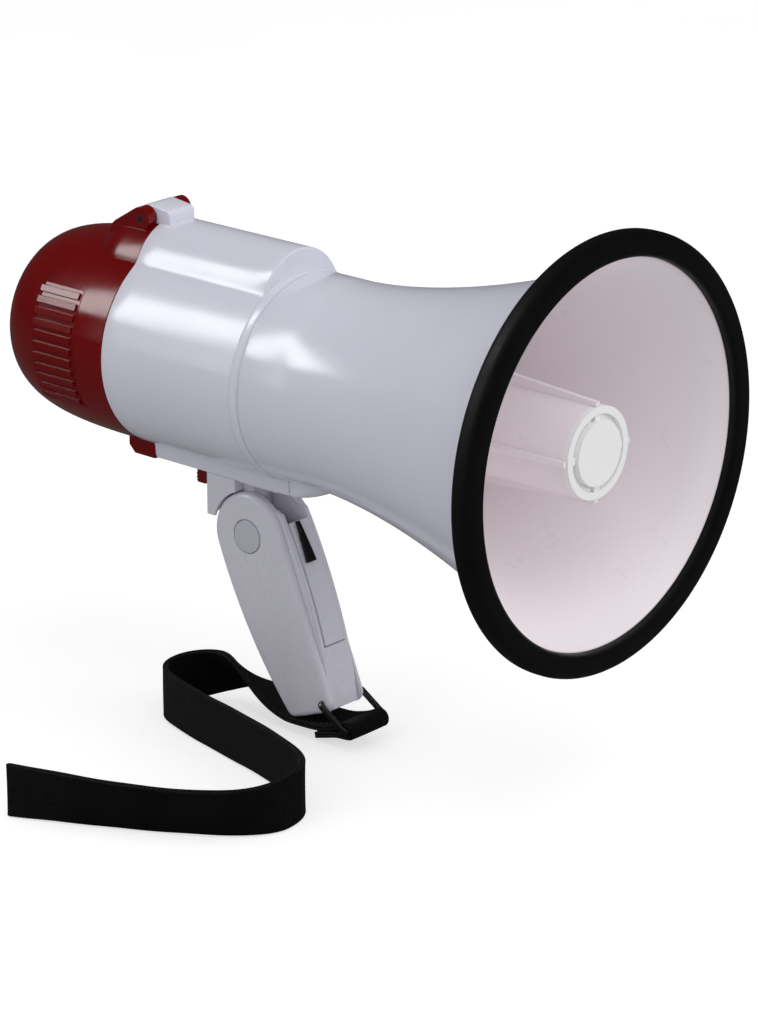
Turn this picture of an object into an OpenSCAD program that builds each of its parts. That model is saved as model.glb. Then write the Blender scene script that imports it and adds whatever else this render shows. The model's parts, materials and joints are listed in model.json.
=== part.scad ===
// Handheld megaphone with a folding pistol handle.
// X points forward out of the mouth, Z is up, and the horn's axis is the X axis.
// The origin is the centre of the rubber rim's flat front face.

/* [Bell] */
// Outer diameter of the rubber rim
bell_d = 160; // [158:1:164]
// Length of the horn, from the rim's face to the seam with the housing
horn_len = 143; // [142:1:144]
// Wall thickness of the moulded shells
wall = 2; // [1.8:0.1:2.2]
// How sharply the bell flares: the power of its profile
flare_power = 1.65; // [1.5:0.05:1.9]

/* [Housing] */
// Outer diameter of the round housing
body_d = 79; // [79:0.5:80]
// Length of the housing, from the horn seam to the red cap
housing_len = 69; // [69:0.5:70]
// Radius of the half-round hump on top
hump_r = 21; // [20.5:0.5:22]
// Height of the hump's centre line above the horn's axis
hump_z = 27; // [27:0.5:28]
// Half of the keel's width
keel_half = 11.5; // [11:0.5:12]
// Depth of the keel's bottom face below the axis
keel_depth = 44.5; // [44:0.5:45]

/* [Rear cap] */
// Length of the domed cap
cap_len = 62; // [60:1:64]
// Roundness of the dome's shoulder: a larger value is squarer
dome_power = 2.8; // [2.4:0.1:3.2]
// Number of moulded ribs in each grip band
grip_ribs = 11; // [7:1:15]

/* [Reflector] */
// Outer radius of the reflector tube at its front end
tube_r = 17; // [17:0.5:18]
// Radius of the round button in the middle of the reflector's end
button_r = 12; // [10:0.5:12]

/* [Handle] */
// Distance of the fold pivot behind the rim's face
pivot_back = 166.2; // [165.2:0.5:167.2]
// Depth of the fold pivot below the axis
pivot_depth = 65.6; // [65.4:0.2:66.4]
// Radius of the handle's round top
cheek_r = 16.8; // [16.2:0.2:17]
// Half of the handle's width over its side shells
handle_half = 10; // [10:0.5:11]
// Travel of the fold release button
release_travel = 2.5; // [2:0.5:2.5]

/* [Strap] */
// Width of the webbing
strap_w = 20; // [18:1:20]
// Thickness of the two layers of webbing together
strap_t = 2.4; // [2:0.2:2.4]

/* [Hidden] */
$fn = 96;

white = [0.86, 0.86, 0.9];
red = [0.45, 0.02, 0.03];
black = [0.06, 0.06, 0.06];
steel = [0.62, 0.63, 0.65];
brass = [0.8, 0.65, 0.3];
board_green = [0.1, 0.35, 0.2];

// Main stations along the axis
seam_x = -horn_len;
cap_x = seam_x - housing_len;
tail_x = cap_x - cap_len;
body_r = body_d / 2;
inner_r = body_r - wall;
neck_r = body_r - 0.2;
rim_r = bell_d / 2;
rim_w = 9.3;
mouth_r = rim_r - rim_w + 0.1;
lip_flare = 5.6;
flare_len = horn_len - 18;
profile_steps = 40;
gap = 0.05;

// Rubber rim
rim_depth = 9.3;
rim_round = 3.8;
lip_x = -4;
lip_t = 2;

// Sound path inside the horn
ledge_x = -121;
ledge_t = 3;
gasket_t = 1;
frame_x = ledge_x - ledge_t - gasket_t;
frame_t = 3.5;
tube_front_x = -10.5;
tube_rear_x = -100;
tube_wall = 1.6;
cap_face_x = -8;
fin_t = 2.2;
boss_r = 3.8;
boss_ring = 34;
screw_r = 1.5;

// Driver
plate_x = -134;
magnet_x = -137;
yoke_x = -145;
yoke_t = 3.5;

// Batteries
bulkhead_x = -150.5;
bulkhead_t = 2;
cell_r = 12.9;
cell_len = 50;
cell_off = 14;
cell_x = -157;
tray_bore = 13.4;

// Electronics in the hump
board_z = 36;
board_t = 1.6;

// Hinge of the rear cap
hinge_x = cap_x - 5.5;
hinge_z = hump_z + hump_r + 0.6;
hinge_pin_r = 1.3;
ear_r = 4.5;
knuckle_half = 6.8;
knuckle_r = 4.7;
knuckle_drop = 4;
ear_gap = 0.4;
ear_t = 4.4;
grip_x = cap_x - 15;
grip_len = 20;
grip_top_a = 36;
grip_low_a = -34;
post_ring = 34;
post_angles = [30, 150, 270];

// Rear face controls
rear_face_x = tail_x + 0.9;
mic_z = 5;
control_z = -13;
control_y = 9.5;

// Handle
px = -pivot_back;
pz = -pivot_depth;
pivot_r = 3;
core_half = handle_half - 2.5;
slot_half = 5.3;
tongue_half = 5;
toe_r = 4;
toe_front = [37.4, -57.4];
back_r = 211;
back_a = 20.7;
back_end_a = 219.55;
back_c = (back_r - cheek_r) * [cos(back_a), sin(back_a)];
toe_back = back_c + (back_r - toe_r) * [cos(back_end_a), sin(back_end_a)];
front_c = [-189, -101.6];
front_r = 232.9;
trigger_t = 3;
trigger_half = 5.2;
trigger_top = 28;
trigger_low = 16.2;
trigger_pin_a = 16.9;
trigger_pin_in = 5;
trigger_pin_at = front_c + (front_r - trigger_pin_in) * [cos(trigger_pin_a), sin(trigger_pin_a)];
block_x = -20.3;
stem_r = 2;
stem_z = -keel_depth - 5.2;
lock_a = 26;
lock_len = 16;
lock_y = -1.6;
bail_r = 1.2;
bail_half = handle_half + 1.4;
bar_at = [49.9, -65.4];
screw_points = [[-10.5, -9], [12.5, -46.5], [30, -58.5]];
bracket_screw_x = px - 17.5;
bracket_screw_y = 6.2;

// Strap
floor_z = -139;
low_z = -135.2;
// The strap's plan line as Bezier stretches, from under the handle to the loop's far end
strap_line = [
    [[-146, 0], [-162, 0], [-175, 2], [-184, -1]],
    [[-184, -1], [-194, -4], [-203, -21], [-190, -30]],
    [[-190, -30], [-179, -37.6], [-140, -42], [-110, -52]],
    [[-110, -52], [-94, -57.5], [-86, -64], [-86, -79]],
    [[-86, -79], [-86, -101], [-118, -115], [-168, -134]]
];
strap_steps = 10;
twist_steps = 16;
lift_step = 7;
lift = 6;
lean_step = 40;
lean = 20;

// ---------- helpers ----------

// Point at radius r and angle a from the centre c
function polar(c, r, a) = c + r * [cos(a), sin(a)];

// Outer radius of the horn at the station x: a power curve that turns out a little more at the mouth
function horn_r(x) = neck_r + (mouth_r - neck_r) * pow(max(0, 1 + x / flare_len), flare_power)
    + (x > -flare_len ? lip_flare * exp(x / 7) : 0);

// Radius of the dome at the distance d behind the cap's front edge
function dome_r(d, r, len) = r * pow(1 - pow(min(d / len, 1), dome_power), 1 / 6.3);

// Spins a profile of [radius, x] points round the X axis
module revolve_x() rotate([0, 90, 0]) rotate_extrude() children();

// Solid bar round the X axis, from x0 down to x1
module bar_x(x0, x1, r) translate([min(x0, x1), 0, 0]) rotate([0, 90, 0]) cylinder(h = abs(x1 - x0), r = r);

// Bar across the handle, centred on the middle plane
module bar_y(w, r) rotate([90, 0, 0]) cylinder(h = w, r = r, center = true);

// Ring round the X axis
module ring_x(x0, x1, r_out, r_in) {
    revolve_x() translate([r_in, min(x0, x1)]) square([r_out - r_in, abs(x1 - x0)]);
}

// Four copies round the X axis, starting at the angle start
module quarter_turns(start = 0) for (k = [0:3]) rotate([start + 90 * k, 0, 0]) children();

// Flat outline round two circles, with straight tangent sides
module capsule(c1, r1, c2, r2) {
    d = c2 - c1;
    a = atan2(d[1], d[0]);
    b = acos((r1 - r2) / norm(d));
    translate(c1) circle(r1);
    translate(c2) circle(r2);
    polygon([polar(c1, r1, a + b), polar(c2, r2, a + b), polar(c2, r2, a - b), polar(c1, r1, a - b)]);
}

// Plate in the XZ plane round the handle's pivot, from the side y0 to y1
module side_plate(y0, y1) translate([px, y1, pz]) rotate([90, 0, 0]) linear_extrude(y1 - y0) children();

// Square with rounded corners, as a flat outline
module rounded_rect(w, h, r) {
    translate([r, 0]) square([w - 2 * r, h]);
    translate([0, r]) square([w, h - 2 * r]);
    for (x = [r, w - r], y = [r, h - r]) translate([x, y]) circle(r);
}

// Unit vector along v
function unit(v) = v / norm(v);

// Solid that carries a flat section along a path of [point, across, up] frames
module sweep(frames, section) {
    n = len(section);
    m = len(frames);
    points = [for (f = frames) for (s = section) f[0] + s[0] * f[1] + s[1] * f[2]];
    sides = [for (i = [0:m - 2]) for (j = [0:n - 1]) let(a = i * n + j, b = i * n + (j + 1) % n)
        for (t = [[a, b, b + n], [a, b + n, a + n]]) t];
    first = [[for (j = [n - 1:-1:0]) j]];
    last = [[for (j = [0:n - 1]) (m - 1) * n + j]];
    polyhedron(points, concat(sides, first, last), convexity = 8);
}

// Round wire section
function wire(r, sides = 8) = [for (j = [0:sides - 1]) polar([0, 0], r, 360 * j / sides)];

// Frames of a coil round the Z axis
function coil_frames(r0, r1, len, turns, steps) = [for (i = [0:turns * steps])
    let(t = i / (turns * steps), a = 360 * i / steps, r = r0 + (r1 - r0) * t)
    [[r * cos(a), r * sin(a), len * t], [cos(a), sin(a), 0], [0, 0, 1]]];

// Direction of a bent line at its point i: the average of the stretches that meet there
function line_direction(points, i) = unit(
    (i > 0 ? unit(points[i] - points[i - 1]) : [0, 0, 0])
    + (i < len(points) - 1 ? unit(points[i + 1] - points[i]) : [0, 0, 0]));

// Frames along a bent line that nowhere runs along the vector ref
function line_frames(points, ref) = [for (i = [0:len(points) - 1]) let(
    along = line_direction(points, i), across = unit(cross(along, ref)))
    [points[i], across, cross(along, across)]];

// Insulated lead along a bent line
module lead(points, r, ref) sweep(line_frames(points, ref), wire(r));

// Pan head screw whose head sits at the origin and whose shank runs along +X
module screw_x(len, r = screw_r, head = 2.6) {
    difference() {
        union() {
            bar_x(-1.8, 0, head);
            bar_x(0, len, r);
        }
        for (a = [0, 90]) rotate([a, 0, 0]) translate([-2, -head, -0.3]) cube([1, 2 * head, 0.6]);
    }
}

// ---------- horn ----------

// Flared white horn with its neck, mounting ledge, screw bosses and keel nose
module horn_bell() {
    color(white) difference() {
        union() {
            revolve_x() polygon(concat(
                [for (i = [0:profile_steps]) let(x = lip_x - (flare_len + lip_x) * i / profile_steps)
                    [horn_r(x), x]],
                [[neck_r, seam_x], [neck_r - wall, seam_x]],
                [for (i = [profile_steps:-1:0]) let(x = lip_x - (flare_len + lip_x) * i / profile_steps)
                    [horn_r(x) - wall, x]]
            ));
            ring_x(lip_x, lip_x - lip_t, rim_r - 4, horn_r(lip_x) - wall / 2);
            ring_x(ledge_x, ledge_x - ledge_t, neck_r - wall / 2, 31);
            quarter_turns() translate([0, boss_ring, 0]) bar_x(seam_x, -131, boss_r);
            keel_nose();
        }
        quarter_turns() translate([0, boss_ring, 0]) bar_x(seam_x - 1, -133, 1.25);
        quarter_turns(45) translate([0, boss_ring, 0])
            bar_x(ledge_x + 1, ledge_x - ledge_t - 1, screw_r + 0.2);
    }
}

// Rounded front end of the keel, outside the neck only
module keel_nose() {
    difference() {
        intersection() {
            translate([seam_x, -keel_half, -keel_depth]) cube([15, 2 * keel_half, 12]);
            translate([seam_x, 0, -keel_depth + 15]) bar_y(2 * keel_half + 2, 15);
            translate([seam_x, 0, -keel_depth - 1]) cylinder(h = 20, r = 14);
        }
        bar_x(seam_x - 1, seam_x + 20, neck_r - wall / 2);
    }
}

// Black rubber ring over the horn's lip, with a flat front land
module rim_bumper() {
    color(black) revolve_x() difference() {
        translate([rim_r - rim_w, -rim_depth]) rounded_rect(rim_w, rim_depth, rim_round);
        translate([rim_r - rim_w - 1, lip_x - lip_t]) square([rim_w - 2.9, lip_t]);
        translate([rim_r - rim_w - 1, lip_x - lip_t - 0.6]) square([1.3, 1]);
    }
    color(black) revolve_x() polygon([
        [horn_r(lip_x - lip_t) + 0.2, lip_x - lip_t],
        [rim_r - 5, lip_x - lip_t],
        [rim_r - 5, -rim_depth + 0.6],
        [horn_r(-rim_depth + 0.6) + 0.4, -rim_depth + 0.6]
    ]);
}

// Central tube with four fins and a mounting ring
module reflector() {
    rear_r = tube_r + 1.2;
    color(white) difference() {
        union() {
            revolve_x() polygon([
                [tube_r, tube_front_x], [rear_r, tube_rear_x],
                [rear_r - tube_wall, tube_rear_x], [tube_r - tube_wall, tube_front_x]
            ]);
            ring_x(ledge_x + 8, ledge_x, neck_r - wall - 0.2, 30.5);
            quarter_turns() rotate([90, 0, 0]) linear_extrude(fin_t, center = true) polygon([
                [tube_front_x - 2, tube_r - 0.8], [tube_front_x, tube_r + 0.1],
                [cap_face_x - 0.5, tube_r + 0.1], [cap_face_x - 0.5, tube_r + 1.7],
                [tube_rear_x + 4, tube_r + 7.2], [tube_rear_x - 5, tube_r + 12],
                [ledge_x + 8, neck_r - wall - 1], [ledge_x, neck_r - wall - 1],
                [ledge_x, 31], [ledge_x + 10, 29], [tube_rear_x, rear_r - 1]
            ]);
        }
        quarter_turns(45) translate([0, boss_ring, 0]) bar_x(ledge_x - 1, ledge_x + 7, 1.25);
    }
}

// Front end of the reflector: an outer ring and a raised round button on four bridges
module reflector_cap() {
    color(white) difference() {
        union() {
            ring_x(cap_face_x, tube_front_x, tube_r, 1);
            bar_x(cap_face_x + 0.8, tube_front_x, button_r);
            ring_x(tube_front_x, tube_front_x - 5.5, tube_r - tube_wall - gap, tube_r - tube_wall - 1.6);
        }
        difference() {
            ring_x(cap_face_x + 1, cap_face_x - 1.7, button_r + 2.1, button_r);
            quarter_turns() translate([cap_face_x - 3, button_r - 2, -1.4]) cube([2.6, 6, 2.8]);
        }
    }
}

// Inner horn tube that carries the sound from the driver to the reflector
module throat_tube() {
    color("dimgray") revolve_x() polygon([
        [8, frame_x], [30.4, frame_x], [30.4, frame_x + 2.6], [11, frame_x + 2.6],
        [9.8, frame_x + 6], [13, -26], [11.6, -26], [8, frame_x + 3]
    ]);
}

// ---------- driver ----------

// Rubber sealing ring between the driver and the horn's ledge
module driver_gasket() {
    color(black) difference() {
        ring_x(frame_x, frame_x + gasket_t, neck_r - wall - 0.2, 31);
        quarter_turns(45) translate([0, boss_ring, 0]) bar_x(frame_x - 1, frame_x + 2, screw_r + 0.2);
    }
}

// Moulded frame of the driver, with notches that pass the horn's screw bosses
module driver_frame() {
    color("dimgray") difference() {
        union() {
            ring_x(frame_x, frame_x - frame_t, neck_r - wall - 0.2, 8);
            ring_x(frame_x - frame_t, plate_x, 28, 24);
        }
        quarter_turns() translate([0, boss_ring, 0]) bar_x(frame_x + 1, plate_x - 1, boss_r + 0.3);
        quarter_turns(45) translate([0, boss_ring, 0])
            bar_x(frame_x + 1, frame_x - frame_t - 1, screw_r + 0.2);
    }
}

module driver_top_plate() color(steel) ring_x(plate_x, magnet_x, 28, 13.1);

module driver_magnet() color([0.2, 0.2, 0.22]) ring_x(magnet_x, yoke_x, 29, 16);

// Back plate with its centre pole
module driver_yoke() {
    color(steel) {
        bar_x(yoke_x, yoke_x - yoke_t, 28);
        bar_x(yoke_x, plate_x, 12);
    }
}

// Four screws through the driver frame and the ledge into the reflector's ring
module driver_screws() {
    color(steel) quarter_turns(45) translate([frame_x - frame_t, boss_ring, 0]) screw_x(13, 1.2);
}

// Thin domed diaphragm
module diaphragm() {
    dome = 13;
    bulge = 2.2;
    x0 = plate_x + 3.6;
    color([0.75, 0.7, 0.6]) revolve_x() polygon(concat(
        [[22.5, x0], [22.5, x0 - 0.4], [dome, x0 - 0.4]],
        [for (i = [1:8]) let(t = i / 8) [dome * (1 - t), x0 - 0.4 + bulge * (1 - pow(1 - t, 2))]],
        [for (i = [8:-1:1]) let(t = i / 8) [dome * (1 - t), x0 + bulge * (1 - pow(1 - t, 2))]],
        [[dome, x0]]
    ));
}

module voice_coil() color([0.7, 0.4, 0.2]) ring_x(plate_x + 3.2, magnet_x - 1, 12.7, 12.3);

// ---------- housing ----------

// Solid outline of the housing: barrel, hump, keel and hinge knuckle, grown by s
module housing_form(s = 0) {
    bar_x(seam_x, cap_x, body_r + s);
    translate([0, 0, hump_z]) bar_x(seam_x - 4 + s, cap_x, hump_r + s);
    translate([cap_x, -keel_half - s, -keel_depth - s]) cube([housing_len, 2 * (keel_half + s), 12]);
}

// White housing with its bulkhead, screw bosses and board rails
module rear_housing() {
    color(white) difference() {
        union() {
            difference() {
                housing_form();
                bar_x(seam_x + 1, cap_x - 1, inner_r);
                translate([0, 0, hump_z]) bar_x(seam_x - 6, cap_x - 1, hump_r - wall);
                translate([cap_x - 1, -keel_half + wall, -keel_depth + wall])
                    cube([housing_len - 8, 2 * (keel_half - wall), 12]);
            }
            bar_x(bulkhead_x, bulkhead_x - bulkhead_t, inner_r + 1);
            ring_x(seam_x + 4, seam_x, neck_r - wall - 0.1, neck_r - wall - 1.5);
            ring_x(seam_x, seam_x - 4, inner_r + 1, neck_r - wall - 1.5);
            quarter_turns() translate([0, boss_ring, 0]) bar_x(seam_x, bulkhead_x, boss_r);
            for (s = [-1, 1]) translate([cap_x + 6, s > 0 ? 12.4 : -17, board_z - 2]) cube([48, 4.6, 2]);
            knuckle();
        }
        // clearance for the horn's bosses in the locating lip
        quarter_turns() translate([0, boss_ring, 0]) bar_x(seam_x, seam_x + 6, boss_r + 0.2);
        // shadow line at the seam with the horn
        ring_x(seam_x + 0.01, seam_x - 0.7, body_r + 1, body_r - 0.7);
        quarter_turns() translate([0, boss_ring, 0]) bar_x(seam_x + 1, bulkhead_x - 3, screw_r + 0.2);
        translate([hinge_x, 0, hinge_z]) bar_y(30, hinge_pin_r + 0.02);
        // passages for the speaker lead and the keel lead
        for (s = [-1, 1]) translate([0, 9 * s, boss_ring]) bar_x(bulkhead_x + 1, bulkhead_x - 4, 1.4);
        translate([px - 4, 0, -keel_depth - 1]) cylinder(h = 4, r = 2.5);
        for (s = [-1, 1]) translate([bracket_screw_x, bracket_screw_y * s, -keel_depth - 1])
            cylinder(h = 4, r = 1.55);
        translate([seam_x - 22, 0, -inner_r + 1]) cylinder(h = 6, r = 2.5, center = true);
    }
}

// Knuckle at the top rear that holds the cap's hinge pin
module knuckle() {
    difference() {
        translate([hinge_x, knuckle_half, hinge_z]) rotate([90, 0, 0]) linear_extrude(2 * knuckle_half) {
            circle(knuckle_r);
            polygon([[0, 4.3], [8.5, 3.6], [10.5, 1.6], [10.8, -knuckle_drop], [0, -knuckle_drop]]);
        }
        translate([0, 0, hump_z]) bar_x(cap_x, seam_x, hump_r - wall / 2);
    }
}

// Four long screws that pull the housing onto the horn
module housing_screws() {
    color(steel) quarter_turns() translate([bulkhead_x - bulkhead_t, boss_ring, 0]) screw_x(17, 1.2, 2.4);
}

// Four copies, one on the centre line of each cell
module at_cells() for (y = [-1, 1], z = [-1, 1]) translate([0, cell_off * y, cell_off * z]) children();

// Black cell holder made of four joined tubes
module battery_tray() {
    color(black) difference() {
        at_cells() bar_x(cell_x + 3, cap_x + 7, tray_bore + 1.2);
        at_cells() bar_x(cell_x + 4, cap_x + 6, tray_bore);
    }
}

// Four round cells: the front pair of diagonals points the other way
module battery_cells() {
    for (y = [-1, 1], z = [-1, 1]) {
        nub_x = y * z > 0 ? cell_x : cell_x - cell_len;
        translate([0, cell_off * y, cell_off * z]) {
            color([0.16, 0.18, 0.22]) bar_x(cell_x - 1.2, cell_x - cell_len + 1.2, cell_r);
            color(steel) bar_x(nub_x, nub_x + (y * z > 0 ? -1.2 : 1.2), 3.6);
        }
    }
}

// Two sprung brass strips on the bulkhead, each under a pair of cells
module front_contacts() {
    color(brass) for (y = [-1, 1])
        translate([bulkhead_x - bulkhead_t - 0.5, cell_off * y - 5, -cell_off - 6])
        cube([0.5, 10, 2 * cell_off + 12]);
}

// Conical coil springs that press the cells rearward
module battery_springs() {
    color(steel) at_cells() translate([bulkhead_x - bulkhead_t - 0.9, 0, 0]) rotate([0, -90, 0])
        sweep(coil_frames(5.2, 3, 2.8, 3, 20), wire(0.35, 6));
}

// ---------- electronics ----------

module amplifier_board() {
    color(board_green) difference() {
        translate([cap_x + 7, -14, board_z]) cube([46, 28, board_t]);
        for (x = [cap_x + 11, cap_x + 49]) translate([x, 0, board_z - 1]) cylinder(h = 4, r = 1.4);
    }
}

module amplifier_chip() {
    color([0.1, 0.1, 0.1]) translate([cap_x + 21, -9.5, board_z + board_t]) cube([14, 4.4, 3.4]);
}

// Finned aluminium heat sink beside the amplifier chip
module heat_sink() {
    color([0.75, 0.76, 0.78]) difference() {
        translate([cap_x + 19, -5, board_z + board_t]) cube([18, 9, 7.4]);
        for (k = [0:4]) translate([cap_x + 20.6 + 3.4 * k, -5.5, board_z + board_t + 2]) cube([1.8, 10, 7]);
    }
}

module capacitors() {
    color([0.15, 0.17, 0.3]) {
        for (k = [0:1]) translate([cap_x + 43 - 29 * k, 0, board_z + board_t]) cylinder(h = 7, r = 3.6);
        translate([cap_x + 43, 9, board_z + board_t]) cylinder(h = 4, r = 2.2);
    }
}

// Pair of leads from the driver's terminals up to the amplifier board
module speaker_lead() {
    color("firebrick") for (s = [-1, 1]) lead([
        [frame_x - frame_t - 0.9, 9 * s, boss_ring - 1.5],
        [bulkhead_x + 3, 9 * s, boss_ring],
        [bulkhead_x - 4, 9 * s, boss_ring],
        [bulkhead_x - 11.4, 9 * s, board_z - 0.8]
    ], 0.75, [0, 1, 0]);
}

// Lead from the handle's tongue through the keel to the board
module keel_lead() {
    x = seam_x - 22;
    wall_r = inner_r - 1.5;
    color("dimgray") lead(concat(
        [[x, 0, -keel_depth + 3.4], [x, 0, -inner_r + 1.6], [x, 12, -inner_r + 3.4]],
        [for (a = [-45:10:45]) [x, wall_r * cos(a), wall_r * sin(a)]],
        [[x, 18, 31], [x, 11, board_z - 3], [x, 9, board_z - 1.1]]
    ), 1, [1, 0, 0]);
}

// ---------- rear cap ----------

module hinge_pin() {
    color(steel) translate([hinge_x, 0, hinge_z]) bar_y(2 * (knuckle_half + ear_gap + ear_t), hinge_pin_r);
}

// Outline of the dome as a solid, shrunk by s all round
module dome_form(s = 0) {
    steps = 28;
    end = 0.985;
    revolve_x() polygon(concat(
        [[0, cap_x]],
        [for (i = [0:steps]) let(t = end * sin(90 * i / steps), d = cap_len * t)
            [dome_r(d, body_r + 0.1, cap_len) - s, cap_x - d * (1 - s / cap_len)]],
        [[0, cap_x - cap_len * end * (1 - s / cap_len)]]
    ));
}

// Fairing that continues the housing's hump and ends as a ball, shrunk by s
module cap_hump(s = 0) {
    steps = 14;
    r = hump_r - s;
    translate([0, 0, hump_z]) revolve_x() polygon(concat(
        [[0, cap_x], [r, cap_x]],
        [for (i = [0:steps]) let(a = 90 * i / steps) [r * cos(a), cap_x - 10 - r * sin(a)]]
    ));
}

// Two raised bands of ribs that give the fingers a grip
module grip_bands() {
    rib_step = (grip_top_a - grip_low_a - 8) / (grip_ribs - 1);
    for (s = [0, 1]) mirror([0, s, 0]) {
        intersection() {
            ring_x(grip_x, grip_x - grip_len, body_r + 0.1, body_r - 5);
            translate([grip_x - grip_len, 0, 0]) rotate([90, 0, 90]) linear_extrude(grip_len)
                polygon([
                    [0, 0], polar([0, 0], 60, grip_low_a), polar([0, 0], 60, 0), polar([0, 0], 60, grip_top_a)
                ]);
        }
        for (k = [0:grip_ribs - 1]) rotate([grip_low_a + 4 + rib_step * k, 0, 0])
            translate([grip_x - grip_len - 1, body_r - 0.3, -1.3]) cube([grip_len, 1.1, 2.6]);
    }
}

// Red domed cap with hinge ears and a bottom tab over the keel
module rear_cap() {
    color(red) difference() {
        union() {
            dome_form();
            cap_hump();
            grip_bands();
            keel_tab();
            for (s = [-1, 1]) translate([0, s * (knuckle_half + ear_gap + ear_t / 2), 0]) ear();
        }
        difference() {
            union() {
                dome_form(wall);
                cap_hump(wall);
                bar_x(cap_x + 1, cap_x - 4, inner_r);
            }
            cap_posts();
        }
        // room for the knuckle and its swing
        translate([hinge_x, 0, hinge_z]) bar_y(2 * (knuckle_half + ear_gap), knuckle_r + 0.5);
        translate([hinge_x, -knuckle_half - ear_gap, hinge_z - knuckle_drop - ear_gap])
            cube([20, 2 * (knuckle_half + ear_gap), 14]);
        translate([hinge_x, 0, hinge_z]) bar_y(60, hinge_pin_r + 0.06);
        // nothing of the cap reaches forward of its front edge, apart from the ears
        translate([cap_x, -60, -60]) cube([20, 120, 100]);
        // openings in the rear face
        translate([0, 0, mic_z]) bar_x(tail_x - 1, tail_x + 6, 8.6);
        translate([0, -control_y, control_z]) bar_x(tail_x - 1, tail_x + 6, 2.05);
        translate([tail_x - 1, control_y - 2.1, control_z - 3.6]) cube([7, 4.2, 7.2]);
    }
}

// Ear that turns on the hinge pin
module ear() {
    rotate([90, 0, 0]) linear_extrude(ear_t, center = true) {
        capsule([hinge_x, hinge_z], ear_r, [hinge_x - 9, hinge_z - 8.5], 7);
    }
}

// Tab below the dome that closes the keel's rear end
module keel_tab() {
    len = 13.5;
    difference() {
        translate([cap_x - len, keel_half, -keel_depth]) rotate([90, 0, 0]) linear_extrude(2 * keel_half)
            polygon([[0, 20], [0, 3], [3, 0], [len, 0], [len, 20]]);
        translate([cap_x - len + wall, -keel_half + wall, -keel_depth + wall])
            cube([len, 2 * (keel_half - wall), 20]);
    }
}

// Screw posts for the contact plate, joined to the cap's wall
module cap_posts() {
    for (a = post_angles) rotate([a, 0, 0]) difference() {
        translate([0, post_ring, 0]) bar_x(cap_x - 4, cap_x - 16, 4.4);
        translate([0, post_ring, 0]) bar_x(cap_x, cap_x - 13, 1.25);
    }
}

// Plate in the cap that carries the rear contacts
module contact_plate() {
    color(black) difference() {
        bar_x(cap_x + 3.2, cap_x + 1.2, inner_r - 1);
        translate([0, 0, hump_z + 10]) bar_x(cap_x + 5, cap_x - 5, 7);
    }
    color(black) difference() {
        ring_x(cap_x + 1.2, cap_x - 4, inner_r - 1, inner_r - 8);
        for (a = post_angles) rotate([a, 0, 0]) translate([0, post_ring, 0])
            bar_x(cap_x + 2, cap_x - 5, screw_r + 0.2);
        translate([cap_x - 5, -60, hump_z]) cube([10, 120, 40]);
    }
}

// Brass strips with a raised contact for each cell
module rear_contacts() {
    color(brass) for (z = [-1, 1]) {
        translate([cap_x + 3.2, -cell_off - 5, cell_off * z - 4]) cube([0.5, 2 * cell_off + 10, 8]);
        for (y = [-1, 1]) translate([0, cell_off * y, cell_off * z]) bar_x(cap_x + 3.6, cap_x + 4.7, 2.6);
    }
}

module contact_plate_screws() {
    color(steel) for (a = post_angles) rotate([a, 0, 0])
        translate([cap_x + 1.2, post_ring, 0]) bar_x(0, -13, 1.2);
}

// Round pierced grille over the microphone
module microphone_grille() {
    color(black) translate([0, 0, mic_z]) difference() {
        union() {
            bar_x(rear_face_x - 0.6, rear_face_x, 10);
            bar_x(rear_face_x, rear_face_x + 5, 8.5);
        }
        bar_x(rear_face_x + 1.2, rear_face_x + 6, 7.3);
        for (ring = [1:3]) for (k = [0:6 * ring - 1])
            rotate([360 * k / (6 * ring), 0, 0]) translate([0, 2.1 * ring, 0])
            bar_x(rear_face_x - 2, rear_face_x + 2, 0.6);
        bar_x(rear_face_x - 2, rear_face_x + 2, 0.6);
    }
}

module microphone_capsule() {
    color(steel) translate([0, 0, mic_z]) bar_x(rear_face_x + 2.4, rear_face_x + 10, 4.9);
}

// Round board behind the rear face
module control_board() {
    color(board_green) bar_x(rear_face_x + 10, rear_face_x + 11.6, 23);
}

module volume_control() {
    color([0.3, 0.3, 0.32]) translate([0, -control_y, control_z]) difference() {
        translate([rear_face_x + 4, -5, -5]) cube([6, 10, 10]);
        bar_x(rear_face_x + 2, rear_face_x + 8.5, 2.1);
    }
}

module mode_switch_body() {
    color([0.3, 0.3, 0.32]) translate([rear_face_x + 4.6, control_y - 3, control_z - 7]) cube([5.4, 6, 14]);
}

// Fluted knob on its shaft
module volume_knob() {
    color(black) translate([0, -control_y, control_z]) {
        difference() {
            bar_x(rear_face_x - 0.4, rear_face_x - 5.5, 6);
            for (k = [0:11]) rotate([30 * k, 0, 0]) translate([0, 6.6, 0])
                bar_x(rear_face_x, rear_face_x - 6, 1);
            translate([rear_face_x - 6.2, -0.5, 2]) cube([1.4, 1, 3.4]);
        }
        bar_x(rear_face_x - 0.4, rear_face_x + 7.5, 2);
    }
}

// Slide that picks speech or siren
module mode_switch() {
    color(black) {
        translate([rear_face_x - 2, control_y - 1.9, control_z - 3.4]) cube([6.4, 3.8, 3]);
        for (k = [0:1]) translate([rear_face_x - 2.5, control_y - 1.9, control_z - 3 + 1.3 * k])
            cube([0.6, 3.8, 0.6]);
    }
}

// ---------- handle bracket and release ----------

// Outline of the upright tongue that holds the pivot
module tongue_outline() {
    circle(8);
    translate([-13, 0]) square([12, pivot_depth - keel_depth]);
}

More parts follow.
